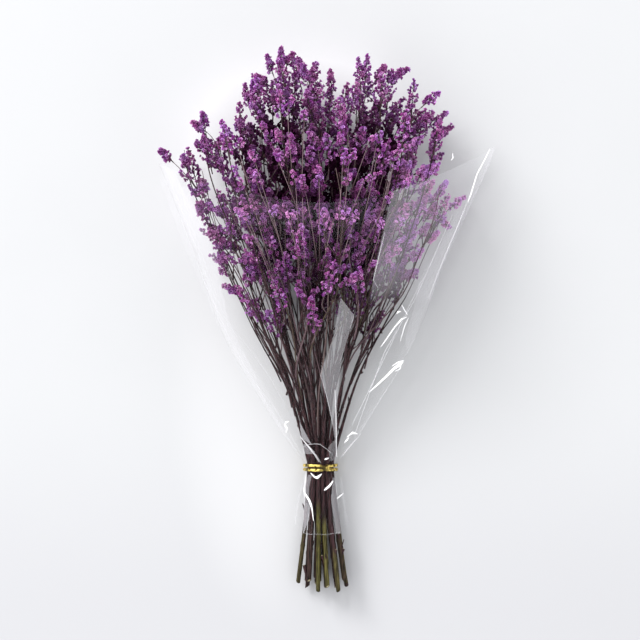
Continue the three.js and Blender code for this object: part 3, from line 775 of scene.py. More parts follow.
class Gathering:
    """Parts of one piece, collected as arrays and joined at the end."""

    def __init__(self):
        self.points, self.quads, self.triangles, self.values, self.count = [], [], [], {}, 0

    def add(self, points, quads, triangles, **values):
        points = points.reshape(-1, 3)
        self.points.append(points)
        self.quads.append(quads + self.count)
        self.triangles.append(triangles + self.count)
        for name, numbers in values.items():
            self.values.setdefault(name, []).append(np.broadcast_to(np.ravel(numbers), len(points)))
        self.count += len(points)

    def make(self, name, finish, slot, is_smooth=True):
        values = {label: np.concatenate(parts) for label, parts in self.values.items()}
        joined = (np.concatenate(parts) for parts in (self.points, self.quads, self.triangles))
        return make_piece(name, *joined, finish, slot, values, is_smooth)


def add_wood(spray, wood, cut=0.0, green=0.0, fine=0.0, olive=0.0):
    """Adds tubes to a spray, with the four values that the bark's colour follows."""
    spray.gathering.add(*wood, cut=cut, green=green, fine=fine, olive=olive)


# %% [markdown]
# Dyed bark is dark purple-brown and slightly ridged along the stem. The dye hasn't reached the lowest part
# of some stems, which stay olive green, nor some side stems at all, and the slanted cuts show pale wood.
# The finest branchlets dry to a mauve-tan. On the branchlets and plume axes in the head, that tan follows
# the florets' painted light mask, so they are painted dark as shade in the heart of the head. So the bark's
# colour follows four values carried by the mesh, green, olive, fine and cut, and fine noise stretched along
# the stems breaks it up.

# %% Bark
bark = Finish("bark")
streaks = bark.ease(bark.grain(900, 4, (1.0, 0.08, 1.0)), 0.3, 0.75)
speckle = bark.grain(2600, 2)
dyed = bark.blend(streaks, (0.002, 0.001, 0.001, 1), (0.064, 0.026, 0.030, 1))
olive = bark.blend(streaks, (0.016, 0.013, 0.003, 1), (0.125, 0.112, 0.030, 1))
colour = bark.blend(bark.attribute("green"), dyed, olive)
colour = bark.blend(bark.attribute("olive"), colour, olive)
mauve_tan = bark.blend(speckle, (0.090, 0.055, 0.066, 1), (0.330, 0.225, 0.245, 1))
colour = bark.blend(bark.attribute("fine"), colour, mauve_tan)
pale_wood = bark.blend(speckle, (0.50, 0.42, 0.22, 1), (0.78, 0.70, 0.46, 1))
colour = bark.blend(bark.attribute("cut"), colour, pale_wood)
bark_shader = bark.principled({
    "Base Color": colour,
    "Roughness": 0.55 + 0.3 * speckle,
    "Normal": bark.bump(streaks, 0.0004, 0.7),
    "Specular IOR Level": 0.2,
})
bark_finish = bark.surface(bark_shader)

# %% [markdown]
# A main stem is one tube from its slanted cut to its crown. Leaves were stripped from it, which leaves a
# slight swelling at each node and here and there a dry bract or the stub of a side twig. A few stubs below
# the sleeve are seen so clearly that they are placed one by one: each by its stem's number, its Y, its way
# out and its two radii. The stems that stay green do so below a Y of their own, each to a share of its
# own.

# %% Main stems
STEM_SIDES, STUB_SIDES, PLACED_STUB_SIDES = 7, 5, 6
WILD_SEED = 11
CUT_SLANT, CUT_NARROWING = 1.7, 0.86
NODE_SWELL, NODE_LENGTH, NODE_GAPS, STUB_CHANCE = 0.17, 2.2, (24, 46), 0.75
STUB_RADII, LONG_STUB, SHORT_STUB, LONG_STUBS = np.array([1.5, 1.25, 0.9, 0.3]), 8.0, 4.5, 0.35
MOSTLY_DYED = (0.1, -205)
wild = np.random.default_rng(WILD_SEED)
GREEN_STEMS = {
    21: (1.0, -186), 22: (0.95, -200), 23: (0.75, -233), 14: (0.55, -212), 9: (0.6, -212),
    19: (0.3, -205), 17: (0.3, -205), 11: (0.3, -200),
}
STUB_SHARES = np.array([0.0, 0.3, 0.7, 1.0, 1.0])
PLACED_STUBS = (
    (15, -259.0, (-3.6, 13.0, 1.0), 1.7, 1.6),
    (23, -236.0, (1.8, 6.0, 1.6), 2.1, 1.1),
    (19, -236.0, (2.6, 6.5, 1.0), 1.5, 1.3),
    (19, -232.0, (3.4, 12.0, 2.4), 0.7, 0.4),
    (17, -250.0, (-3.2, 14.0, 4.0), 1.6, 1.5),
)
bare_radius = profile(
    (CUT_Y, 2.3), (WAIST_LOW_Y, 2.12), (WAIST_HIGH_Y, 2.05), (-100, 1.45), (-40, 0.98), (30, 0.78),
    (100, 0.65), (TOP_Y, 0.5),
)


def stem_lines(spray):
    """Points of one main stem, 2 mm apart below the tie and 6 mm above it, with a slight wander that dies
    away at the tie, its radius, swollen by a sixth at each node, and the Y of the nodes."""
    i = spray.number
    start, end = cut_y[i], tip_y[i] - 2
    tail, rest = np.arange(start + 2, WAIST_LOW_Y, 2.0), np.arange(WAIST_LOW_Y, end, 6.0)
    y = np.concatenate([[start, start], tail, rest, [end]])
    line = stem_point(i, y)
    wander = wild.normal(0, 1, (4, 2))
    along = (y - start)[:, None] / 90
    slack = (np.minimum(np.abs(y - TIE_Y) / 60, 1) + 2.4 * ease(y, -135, -30))[:, None]
    sway = sum(wander[k] * np.sin((k + 1) * along + 3 * wander[k, ::-1]) / (k + 1.5) for k in range(4))
    line[:, [0, 2]] += slack * sway
    nodes = np.cumsum(wild.uniform(*NODE_GAPS, 14)) + start
    nodes = nodes[nodes < end - 60]
    swell = bell(y[:, None], nodes, NODE_LENGTH).sum(axis=1)
    radius = bare_radius(y) * (1 + NODE_SWELL * swell) * mix(1.0, 0.45, ease(y, end - 40, end))
    radius[0] *= CUT_NARROWING
    return line, radius, nodes


def add_stem(spray):
    """Adds the stem's tube to its spray, slanted at the cut and green below a Y of its own. Returns the Y of
    its nodes."""
    line, radius, nodes = stem_lines(spray)
    turn = 2 * np.pi * np.arange(STEM_SIDES) / STEM_SIDES + wild.uniform(0, 6)
    lift = np.zeros((1, len(line), STEM_SIDES))
    lift[0, :2] = CUT_SLANT * np.cos(turn) * [[CUT_NARROWING], [1.0]]
    wood = tubes(line[None], radius[None], STEM_SIDES, lift)
    is_cut = np.arange(len(line)) == 0
    share, start = GREEN_STEMS.get(spray.number, MOSTLY_DYED)
    green = share * ease(-wood[0][0, :, 1], -start - 8, -start + 8)
    add_wood(spray, wood, cut=ring_values(1.0 * is_cut, STEM_SIDES), green=green)
    return nodes


def add_stubs(spray, nodes):
    """Adds bracts and stubs at three quarters of the nodes that lie clear of the tie, each up and out in a
    random direction."""
    stubs = nodes[(nodes < WAIST_LOW_Y - 10) | (nodes > -120)]
    stubs = stubs[(stubs > cut_y[spray.number] + 6) & (wild.uniform(0, 1, len(stubs)) < STUB_CHANCE)]
    root = stem_point(spray.number, stubs)
    side = wild.uniform(0, 2 * np.pi, len(stubs))
    out_way = np.stack([np.cos(side), np.full(len(stubs), 2.2), np.sin(side)], axis=-1)
    length = np.where(wild.uniform(0, 1, len(stubs)) < LONG_STUBS, LONG_STUB, SHORT_STUB)
    length = length * wild.uniform(0.8, 1.2, len(stubs))
    t = np.linspace(0, 1, len(STUB_RADII))[None, :, None]
    stub_lines = root[:, None] + unit(out_way)[:, None] * length[:, None, None] * t
    stub_radii = STUB_RADII * wild.uniform(0.7, 1.1, len(stubs))[:, None]
    add_wood(spray, tubes(stub_lines, stub_radii, STUB_SIDES))


for spray in sprays:
    spray.gathering = Gathering()
    add_stubs(spray, add_stem(spray))

# %% Stubs that the picture shows below the sleeve
for i, y, way, root_radius, end_radius in PLACED_STUBS:
    line = stem_point(i, np.array(y)) + np.array(way) * STUB_SHARES[:, None]
    radius = mix(root_radius, end_radius, STUB_SHARES)
    is_cut = (np.arange(len(line)) == len(line) - 1) & (end_radius > 1)
    wood = tubes(line[None], radius[None], PLACED_STUB_SIDES)
    add_wood(sprays[i], wood, cut=ring_values(1.0 * is_cut, PLACED_STUB_SIDES))
print(len(PLACED_STUBS), "stubs below the sleeve")

# %% [markdown]
# Caspia branches low down, so between the main stems run thinner side stems, which leave a main stem above
# the tie and hold a place of their own across the bundle from there on. They fill the bundle without
# changing its form.

# %% Side stems
SIDE_STEMS, SIDE_STEMS_AT_RIGHT, SIDE_STEM_SIDES = 5, 3, 4
SIDE_STARTS, SIDE_STARTS_AT_RIGHT, SIDE_SHORTFALLS = (-128, -40), (-70, 0), (40, 150)
SIDE_SHIFTS, SIDE_BOWS, SIDE_RADII, SIDE_GIRTHS = (-0.38, 0.38), (-12, 12), (0.85, 0.34), (0.7, 1.15)
UNDYED_CHANCE, UNDYED_GREEN = 0.18, 0.8


def side_course(i, start, end, shift_x, shift_z, bow):
    """A course that leaves main stem i at start, moves over to its own place within 90 mm and bows aside."""

    def course(t):
        y = mix(start, end, np.asarray(t, float))
        away = ease(y, start, start + 90)
        lean_part = stem_point(i, y) - bundle_point(across_x[i], across_z[i], y)
        own = bundle_point(across_x[i] + shift_x * away, across_z[i] + shift_z * away, y)
        t = (y - start) / (end - start)
        bend = bow * np.sin(np.pi * t) + 0.15 * np.abs(bow) * np.sin(13 * t + 9 * shift_x)
        return own + lean_part + np.stack([bend, 0 * bend, 0.5 * bend], axis=-1)

    return course


for spray in sprays:
    i = spray.number
    spray.side_courses = []
    is_right = across_x[i] > 0.3
    count = SIDE_STEMS_AT_RIGHT if is_right else SIDE_STEMS - (across_x[i] < -0.5)
    for start in wild.uniform(*(SIDE_STARTS_AT_RIGHT if is_right else SIDE_STARTS), count):
        shift = wild.uniform(*SIDE_SHIFTS, 2)
        shift[0] = np.clip(across_x[i] + shift[0], -1, 1) - across_x[i]
        shift[1] = np.clip(across_z[i] + shift[1], -0.9, 0.8) - across_z[i]
        end = tip_y[i] - wild.uniform(*SIDE_SHORTFALLS)
        course = side_course(i, start, end, *shift, wild.uniform(*SIDE_BOWS) - 5 * across_x[i])
        spray.side_courses.append(course)
    t = np.linspace(0, 1, 20)
    lines = np.array([course(t) for course in spray.side_courses])
    radii = mix(*SIDE_RADII, t)[None] * wild.uniform(*SIDE_GIRTHS, (count, 1))
    wood = tubes(lines, radii, SIDE_STEM_SIDES)
    paleness = wild.choice([0.0, 0.25, 0.6], count, p=[0.5, 0.3, 0.2])[:, None]
    fine = ring_values(paleness + (0.5 - 0.5 * paleness) * ease(t, 0.5, 1), SIDE_STEM_SIDES)
    undyed = np.where(wild.uniform(size=count) < UNDYED_CHANCE, UNDYED_GREEN, 0.0)
    olive = np.repeat(undyed, wood[0].shape[1])
    add_wood(spray, wood, fine=fine, olive=olive)

# %% [markdown]
# Florets sit in rows along curved branchlets, and the branchlets stand round the plume's axis like the
# steps of a spiral stair, 137.5 degrees apart as on most plants. Their reach follows the plume's outline,
# from wide at its foot to a point. Small sprigs of the same build fill the twigs below the plumes.

# %% Plumes and sprigs, as one list of axes
SPRIG_STEP, SPRIG_REACHES, SPRIG_RADII, MOST_COVERED = 7.0, (12, 21), (3.2, 4.4), 0.95
SPRIG_SLANTS = (0.4, 0.9)
PRESSED_Y, PRESSED_HALF = 121, 9
sprigs = []


def pressed(points):
    """Share by which the film's mouth presses the head in: a band across it, with few florets, where the
    painted light mask also paints the florets dark as shade."""
    x, y = points[..., 0], points[..., 1]
    return bell(y, PRESSED_Y, PRESSED_HALF) * ease(x, -90, -60) * (1 - ease(x, 30, 70))


def sprigs_along(course, spray, from_share, to_share):
    """Sprigs on one branch, about every 7 mm, fewer low down, each aslant to the branch in a random
    direction."""
    line = course(np.linspace(from_share, to_share, 16))
    length = np.linalg.norm(np.diff(line, axis=0), axis=1).sum()
    for place in np.sort(wild.uniform(from_share, to_share, int(length / SPRIG_STEP))):
        root = course(place)
        share = fan_share(*root[:2])
        lowest = -40 + 50 * ease(share, 0.2, 0.8) + 40 * ease(-share, 0.1, 0.6)
        fullest = 110 - 35 * ease(share, 0.2, 0.8)
        if wild.uniform() > MOST_COVERED * ease(root[1], lowest, fullest) * (1 - 0.8 * pressed(root)):
            continue
        ahead = unit(course(place + 0.02) - root)
        side = unit(np.cross(ahead, wild.normal(size=3)))
        heading = unit(ahead + side * wild.uniform(*SPRIG_SLANTS) + [0.5 * share, 0, 0])
        reach = wild.uniform(*SPRIG_REACHES)
        if has_room((root + heading * reach)[None], SPRIG_RADII[0])[0]:
            sprigs.append((root, heading, reach, wild.uniform(*SPRIG_RADII), spray.number))


for spray in sprays:
    for twig in spray.twigs:
        sprigs_along(twig.course, spray, 0.3, 0.97)
    for course in spray.side_courses:
        sprigs_along(course, spray, 0.35, 0.98)
    upper = side_course(spray.number, -40.0, tip_y[spray.number] - 30, 0.0, 0.0, 0.01)
    sprigs_along(upper, spray, 0.2, 0.97)

# %% [markdown]
# Some sprigs reach out past the rest and give the bunch its ragged outline. Their tips and feet are laid in
# plan, each at the height nearest the middle of the head that has room, and each is joined to the branch
# that it would most easily grow from. Each row has a tip's X and Y, and a foot's. Of all the sprigs that
# could grow along the branches, chance then keeps as many as the limit on triangles allows.

# %% Sprigs at the outline
MOST_SPRIGS = 576
OUTLINE_SPRIGS = (
    (-160, 170, -146, 157), (-136, 164, -131, 148), (-127, 197, -112, 186), (-116, 206, -114, 190),
    (-124, 177, -109, 168), (-75, 234, -70, 210), (-66, 237, -64, 212), (-64, 243, -50, 232),
    (-53, 263, -46, 242), (-39, 270, -37, 248), (-27, 265, -34, 250), (-22, 260, -14, 238),
    (-4, 256, -8, 234), (10, 249, 12, 222), (38, 260, 40, 228), (47, 261, 44, 232), (65, 252, 54, 236),
    (88, 250, 70, 240), (119, 226, 100, 210), (126, 206, 108, 191), (131, 193, 113, 180),
    (114, 153, 97, 147), (126, 138, 116, 120), (146, 124, 128, 110), (131, 92, 116, 104),
    (-103, 57, -90, 67), (-96, 35, -76, 25), (-67, 8, -50, -2), (-120, 104, -117, 122),
    (112, 138, 100, 118), (104, 122, 92, 104), (116, 116, 104, 98), (96, 100, 84, 84), (108, 96, 98, 80),
    (118, 88, 104, 76), (90, 82, 80, 66), (102, 70, 88, 58), (84, 60, 76, 44), (94, 50, 82, 38),
)


def settle(x, y, wanted_z, radius):
    """The place over x and y, at the height nearest the wanted one, where a ball has room."""
    heights = np.arange(8.0, 110.0, 1.0)
    spots = np.stack([np.full_like(heights, x), np.full_like(heights, y), heights], axis=-1)
    far = np.where(has_room(spots, radius), np.abs(heights - wanted_z), 1e3 + heights)
    return spots[np.argmin(far)]


outline_axes = []
for tip_x, tip_reach, foot_x, foot_y in OUTLINE_SPRIGS:
    radius = wild.uniform(3.5, 4.7)
    place_x = fan_share(foot_x, foot_y)
    level = axis_z(foot_y) - sag(foot_y, place_x, 0.0) + wild.uniform(-4, 14)
    foot = settle(foot_x, foot_y, level, radius)
    tip = settle(tip_x, tip_reach, foot[2] + 2, radius)
    heading, reach = unit(tip - foot), np.linalg.norm(tip - foot)
    best = None
    for spray in sprays:
        _, length, leaving = ways_to(foot, spray)
        cost = np.where((length > 25) & (leaving > 0.7), length * (2.4 - 1.4 * leaving), np.inf)
        n = int(np.argmin(cost))
        if best is None or cost[n] < best[0]:
            best = cost[n], spray, n
    _, spray, n = best
    course = twig_course(spray.nodes[n, 7:10], spray.nodes[n, 3:6], foot, heading)
    spray.twigs.append(twig_of(course, (0.8, 0.5)))
    outline_axes.append((foot, heading, reach, radius, spray.number))
    sprigs_along(course, spray, 0.55, 0.97)
print(len(sprigs), "sprigs could grow")
keep = wild.permutation(len(sprigs))[:MOST_SPRIGS]
sprigs = [sprigs[n] for n in np.sort(keep)]
print(len(sprigs), "sprigs kept, and", len(outline_axes), "at the outline")

# %% [markdown]
# A few late shoots lie on top of the head: thin pale lines that run up over the florets, lean aside and end
# in a small sprig.

# %% Late shoots
def late_course(i, start, end, aside):
    """A course that leaves main stem i at start, rises to the head's upper face within a third of its length
    and leans aside as the 1.3th power of it. Under the film it stays 2.5 mm below it."""

    def course(t):
        t = np.asarray(t, float)
        y = mix(start, end, t)
        root = stem_point(i, y)
        x = root[..., 0] + aside * t**1.3
        place = 0.9 * np.tanh(head_share(x, y))
        x = head_x(y) + place * head_width(y)
        face = axis_z(y) - sag(y, place, 0.0) + 0.95 * head_height(y) * np.sqrt(1 - place**2)
        share = np.clip(sleeve_share(x, y), -WIDEST_SHARE, WIDEST_SHARE)
        past_mouth = y - mouth_y(share, True)
        ceiling = front_z(share, y, FILM) - 2.5 + 60 * ease(past_mouth, 0, 30)
        z = mix(root[..., 2], np.minimum(face, ceiling), ease(t, 0, 0.35))
        return np.stack([x, y, z], axis=-1)

    return course


LOWEST_WITH_SHOOTS, SHOOTS_ON_EACH, SHOOT_LEAN = 9, 3, 30
SHOOT_STARTS, SHOOT_LENGTHS, SHOOT_TIPS, SHOOT_TIP_RADII = (10, 110), (60, 110), (12, 19), (3.4, 4.4)
has_shoots = (np.arange(STEMS) >= LOWEST_WITH_SHOOTS) & (np.abs(across_x) < 0.75)
for i in np.repeat(np.flatnonzero(has_shoots), SHOOTS_ON_EACH):
    start = wild.uniform(*SHOOT_STARTS)
    side = across_x[i] + wild.uniform(-0.6, 0.6)
    end = min(start + wild.uniform(*SHOOT_LENGTHS), tip_y[i] - 16)
    course = late_course(i, start, end, SHOOT_LEAN * side)
    sprays[i].twigs.append(twig_of(course, (0.55, 0.42), paleness=1.0))
    heading = unit(course(1.0) - course(0.93) + wild.normal(0, 2, 3))
    reach, radius = wild.uniform(*SHOOT_TIPS), wild.uniform(*SHOOT_TIP_RADII)
    sprigs.append((course(1.0), heading, reach, radius, int(i)))
print(SHOOTS_ON_EACH * has_shoots.sum(), "late shoots")

# %% [markdown]
# A twig follows its smooth course from the lower branch to its plume. It is a little thinner than the solid
# that stands for it, and pales towards its tip.

# %% Twigs
TWIG_ROWS, TWIG_SIDES = 12, 5
t = np.linspace(0, 1, TWIG_ROWS)
for spray in sprays:
    if not spray.twigs:
        continue
    lines = np.array([twig.course(t) for twig in spray.twigs])
    ends = np.array([twig.ends for twig in spray.twigs])
    radii = mix(ends[:, :1] * 0.86, ends[:, 1:] * 0.64, t[None])
    paleness = np.array([twig.paleness for twig in spray.twigs])[:, None]
    fine = ring_values(paleness * ease(t, 0.15, 0.8), TWIG_SIDES)
    add_wood(spray, tubes(lines, radii, TWIG_SIDES), fine=fine)

# %% [markdown]
# A branchlet leaves the axis of a plume or sprig and bends up, and the florets sit along it. One floret is
# a plain cup of ten rim points, every second one the tip of a lobe, with one point below for its foot and
# one for its throat. Copies of it are turned and scaled as arrays.

# %% Branchlets
GOLDEN_ANGLE = 137.5


def branchlets(axes, count, rows, seed):
    """Curved branchlets round straight axes: each leaves outwards, reaches out as a sine of its own length
    and climbs as the 1.6th power of it, so that it bends up. Returns their lines, headings outwards and
    axes' numbers."""
    chance = np.random.default_rng(seed)
    base, heading, length, radius, _ = columns(axes)
    outline = profile((0.1, 0.8), (0.25, 1.05), (0.45, 0.9), (0.65, 0.58), (0.85, 0.28), (1.0, 0.08))
    aside = np.where(np.abs(heading[:, 2:]) > 0.7, [[1.0, 0, 0]], [[0, 0, 1.0]])
    first, second = square_pair(aside, heading)
    along = np.linspace(0.14, 0.93, count) + chance.uniform(-0.03, 0.03, (len(axes), count))
    turn = np.radians(GOLDEN_ANGLE) * np.arange(count) + chance.uniform(0, 2 * np.pi, (len(axes), 1))
    turn = turn + chance.uniform(-0.4, 0.4, (len(axes), count))
    outward = first[:, None] * np.cos(turn)[..., None] + second[:, None] * np.sin(turn)[..., None]
    reach = radius[:, None] * outline(along) * chance.uniform(0.55, 1.0, (len(axes), count))
    t = np.linspace(0, 1, rows)[:, None]
    root = base[:, None] + heading[:, None] * (along * length[:, None])[..., None]
    side = outward[:, :, None] * (reach[..., None] * np.sin(np.pi / 2 * t[:, 0]))[..., None]
    climb = heading[:, None, None] * (reach[..., None] * 0.95 * t[:, 0] ** 1.6)[..., None]
    lines = root[:, :, None] + side + climb
    return lines.reshape(-1, rows, 3), outward.reshape(-1, 3), np.repeat(np.arange(len(axes)), count)


# %% Floret form
LOBES = 5
floret_turn = np.pi * np.arange(2 * LOBES) / LOBES
is_lobe = np.arange(2 * LOBES) % 2 == 0
rim_reach = np.where(is_lobe, 1.0, 0.66)
rim_level = np.where(is_lobe, 0.9, 1.05)
FLORET = np.stack([rim_reach * np.cos(floret_turn), rim_reach * np.sin(floret_turn), rim_level], axis=-1)
FLORET = np.concatenate([FLORET, [[0, 0, -0.45], [0, 0, 0.3]]])
floret_rim = np.concatenate([np.where(is_lobe, 1.0, 0.72), [0.0, 0.05]])
FLORET_QUADS, FLORET_TRIANGLES = skin(1, 2 * LOBES)
print("one floret:", len(FLORET), "points,", 2 * len(FLORET_QUADS) + len(FLORET_TRIANGLES), "triangles")


def florets(places, axes, sizes, seed):
    """Copies of the floret: each is turned so that its own Z is its axis, by two vectors across it and a
    random spin, and scaled."""
    chance = np.random.default_rng(seed)
    aside = unit(chance.normal(size=places.shape))
    turned = FLORET @ np.stack([*square_pair(aside, axes), axes], axis=1)
    points = places[:, None] + turned * sizes[:, None, None]
    first_point = np.arange(len(places))[:, None, None] * len(FLORET)
    quads, triangles = FLORET_QUADS + first_point, FLORET_TRIANGLES + first_point
    return points, quads.reshape(-1, 4), triangles.reshape(-1, 3)


# %% [markdown]
# Each papery cup is dark at its foot and throat, and bright and a little pale at the rim of the lobes:
# partly uneven dye and partly painted shade inside the cup. No two are quite alike. A value on each point
# gives the way to the rim and another gives each floret its own shade.

# %% Petal finish
petal = Finish("dyed_petal")
mottle = petal.grain(700, 3)
rim = petal.attribute("rim")
shade = petal.attribute("shade")
dark = petal.blend(shade, (0.014, 0.001, 0.009, 1), (0.046, 0.004, 0.033, 1))
tint = petal.ease(petal.grain(65, 2), 0.3, 0.7)
palest = petal.blend(tint, (0.800, 0.420, 1.000, 1), (1.000, 0.450, 0.860, 1))
bright = petal.blend(tint, (0.352, 0.058, 0.392, 1), (0.432, 0.070, 0.342, 1))
bright = petal.blend(shade, bright, palest)
# painted shade: in the head's heart the painted light mask turns a floret's bright colour almost to black
bright = petal.blend(petal.attribute("faded"), (0.030, 0.002, 0.018, 1), bright)
# partly painted shade: each cup is dark at its foot and throat and bright at the lobes' rims
colour = petal.blend(rim**1.6 * (0.9 + 0.76 * mottle), dark, bright)
petal_shader = petal.principled({
    "Base Color": colour,
    "Roughness": 0.6 + 0.25 * mottle,
    "Normal": petal.bump(petal.grain(2400, 2), 0.0003, 0.5),
    "Specular IOR Level": 0.1,
})
petal_finish = petal.surface(petal_shader)

# %% [markdown]
# Every plume and sprig is now dressed in one pass. A group has its axes, how many branchlets stand on each,
# how many points a branchlet has, how many florets sit on it, and a seed. Three more florets close each
# axis at its top. A painted light mask colours the florets at the head's surface bright, as painted light,
# and those in its heart dark, as painted shade. The florets in the heart also grow larger.

# %% Dress every plume and sprig
TOP_SHARES = np.array([[0.88], [0.95], [1.02]])
CORE_SHARES, CORE_RADII, CORE_SIDES = np.array([[0], [0.35], [0.7], [0.97]]), [0.55, 0.5, 0.4, 0.25], 4
BRANCHLET_RADII, BRANCHLET_SIDES = (0.36, 0.2), 3
FLORET_SIZES, TOP_SIZE, HEART_SIZE = (1.14, 1.88), 0.75, 1.35
SEAT_SCATTER, FACING_SCATTER, TOP_SCATTER = 0.6, 0.38, 0.45
FIRST_SEAT, FACING_UP, TOP_SINK = 0.35, [0, 0, 0.25], 1.5
GROUPS = (
    (plumes + outline_axes, 16, 3, 5, 21),
    (sprigs, 6, 2, 4, 22),
)


def painted_light_share(points):
    """Painted light and shade on a floret: 0, painted dark as shade, in the heart of the head, and 1, painted
    bright as light, at its surface. It is the greatest of four shares: how near the floret is to the head's
    upper or lower face, to its sides, to the lower part of its left flank and to its tips. It is painted low,
    as shade, where the film's mouth presses the head."""
    x, y, z = points.T
    place = np.clip(head_share(x, y), -1, 1)
    half = head_height(y) * np.sqrt(1 - (0.97 * place) ** 2) + 3
    middle = axis_z(y) - sag(y, place, 0.0)
    to_face = ease(np.abs(z - middle) / half, 0.28, 0.9)
    to_side = 0.68 * ease(np.abs(place), 0.7, 0.98)
    to_tips = 0.74 * ease(y - top_y(x), -80, -20)
    to_flank = 0.7 * ease(-place, 0.45, 0.75) * (1 - ease(y, 130, 170))
    return np.maximum.reduce([to_face, to_side, to_flank, to_tips]) * (1 - 0.85 * pressed(points))


def painted_paleness(points):
    """Share of painted light on the florets: those at the right, under the flat side of the film, and those
    just under the film's mouth are painted paler."""
    x, y, z = points.T
    share = sleeve_share(x, y)
    under_flat = ease(share, 0.4, 0.55) * ease(y, 20, 60) * (1 - ease(y, 150, 185))
    under_mouth = ease(y, 84, 98) * (1 - ease(y, 108, 114)) * ease(z, 60, 90) * (1 - ease(x, 60, 80))
    return np.maximum(under_flat, 0.8 * under_mouth)


def seat_florets(lines, outward, per_branchlet, chance):
    """Places and facings of florets along branchlets, evenly from a third of the way to the tip and a little
    scattered."""
    rows = lines.shape[1]
    exact = np.linspace(FIRST_SEAT, 1.0, per_branchlet) * (rows - 1)
    before = np.minimum(exact.astype(int), rows - 2)
    part = (exact - before)[:, None]
    seats = lines[:, before] * (1 - part) + lines[:, before + 1] * part
    seats = seats + chance.normal(0, SEAT_SCATTER, seats.shape)
    facing = unit(outward[:, None] + chance.normal(0, FACING_SCATTER, seats.shape) + FACING_UP)
    return seats.reshape(-1, 3), facing.reshape(-1, 3)


def top_florets(base, heading, whole, chance):
    """Places and facings of the florets that close each axis at its top."""
    tops = (base[:, None] + whole * TOP_SHARES).reshape(-1, 3)
    ahead = np.repeat(heading, len(TOP_SHARES), axis=0)
    return tops - ahead * TOP_SINK, unit(ahead + chance.normal(0, TOP_SCATTER, tops.shape))


def add_florets(spray, places, facings, sizes, seed, chance):
    """Adds florets to a spray, each as bright as its painted light makes it, and as large and of such a shade
    as its place and chance make it."""
    paler = painted_paleness(places)
    lit_share = np.maximum(painted_light_share(places), paler)
    cups = florets(places, facings, sizes * mix(HEART_SIZE, 1.0, lit_share), seed)
    # painted light: florets under the film's flat side and just under its mouth get a paler shade
    shades = 1.25 * chance.uniform(0, 1, len(places)) ** 1.7 + 0.5 * paler
    floret_parts[spray.number].add(
        *cups,
        rim=np.tile(floret_rim, len(places)),
        shade=np.repeat(shades, len(FLORET)),
        faded=np.repeat(lit_share, len(FLORET)),
    )


def add_fine_wood_painted_lit(spray, lines, radii, sides, paleness):
    """Adds thin tubes to a spray, whose mauve-tan follows the florets' painted light mask: painted dark as
    shade in the heart of the head, and pale at its surface.
    """
    wood = tubes(lines, np.tile(radii, (len(lines), 1)), sides)
    add_wood(spray, wood, fine=paleness * painted_light_share(wood[0].reshape(-1, 3)))


floret_parts = [Gathering() for _ in sprays]
florets_made = 0
for axes, count, rows, per_branchlet, seed in GROUPS:
    base, heading, length, _, grower = columns(axes)
    lines, outward, owner = branchlets(axes, count, rows, seed)
    chance = np.random.default_rng(seed + 100)
    whole = (heading * length[:, None])[:, None]
    seats, facing = seat_florets(lines, 0.75 * outward + 0.55 * heading[owner], per_branchlet, chance)
    tops, top_facing = top_florets(base, heading, whole, chance)
    places, facings = np.concatenate([seats, tops]), np.concatenate([facing, top_facing])
    of_spray = np.concatenate([np.repeat(grower[owner], per_branchlet), np.repeat(grower, len(TOP_SHARES))])
    sizes = chance.uniform(*FLORET_SIZES, len(places))
    sizes[len(seats) :] *= TOP_SIZE
    florets_made += len(places)
    core_lines = base[:, None] + whole * CORE_SHARES
    branchlet_radii = np.linspace(*BRANCHLET_RADII, rows)
    for spray in sprays:
        own = of_spray == spray.number
        if own.any():
            add_florets(spray, places[own], facings[own], sizes[own], seed + spray.number, chance)
            mine, held = grower[owner] == spray.number, grower == spray.number
            add_fine_wood_painted_lit(spray, lines[mine], branchlet_radii, BRANCHLET_SIDES, 0.65)
            add_fine_wood_painted_lit(spray, core_lines[held], CORE_RADII, CORE_SIDES, 0.5)
for spray in sprays:
    name = f"spray_{spray.number + 1:02d}"
    stems = spray.gathering.make(name + "_stems", bark_finish, "stem")
    flowers = floret_parts[spray.number].make(name + "_florets", petal_finish, "flower", is_smooth=False)
    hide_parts(name)
    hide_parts(name)
print(florets_made, "florets,", triangle_count(), "triangles in the sprays")
print(sum(len(spray.twigs) for spray in sprays), "twigs,", len(sprigs), "sprigs along them")

# %% [markdown]
# The table is a pale matt sheet. A broad soft light stands far to the upper left, so that a pale shadow
# falls to the lower right, and the white surroundings fill the rest. A small bright lamp adds to the glints
# on the film's creases, which are painted white and glowing as well. The sheet's colour carries painted
# light and shade: painted shade makes it a little darker towards the foot of the picture, and painted light
# makes it lighter next to the bunch and round the left and upper sides of the head, where it takes away the
# shade that the bunch casts. That last patch starts at an ellipse inside the head's outline and dies away
# as a power of the distance beyond it.

# %% Table
table = Finish("pale_table")
place = table.place()
sockets = {"Vector": place}
table_x, table_y = (table.node("ShaderNodeSeparateXYZ", {}, sockets, output=axis) for axis in "XY")
sheet_colour = table.blend(table.grain(9, 2), (0.552, 0.555, 0.562, 1), (0.568, 0.571, 0.578, 1))
# painted shade: darker towards the foot of the picture
painted_shade_toward_foot = table.ease(table_y, -0.06, -0.3)
sheet_colour = table.blend(painted_shade_toward_foot, sheet_colour, (0.520, 0.519, 0.533, 1))
# painted light next to the bunch, against the shade it casts
off_x, off_y = table_x + 0.055, table_y + 0.05
painted_light_beside_bunch = table.ease(6 * (off_x * off_x) + off_y * off_y, 0.075, 0.005)
sheet_colour = table.blend(painted_light_beside_bunch, sheet_colour, (0.612, 0.610, 0.617, 1))
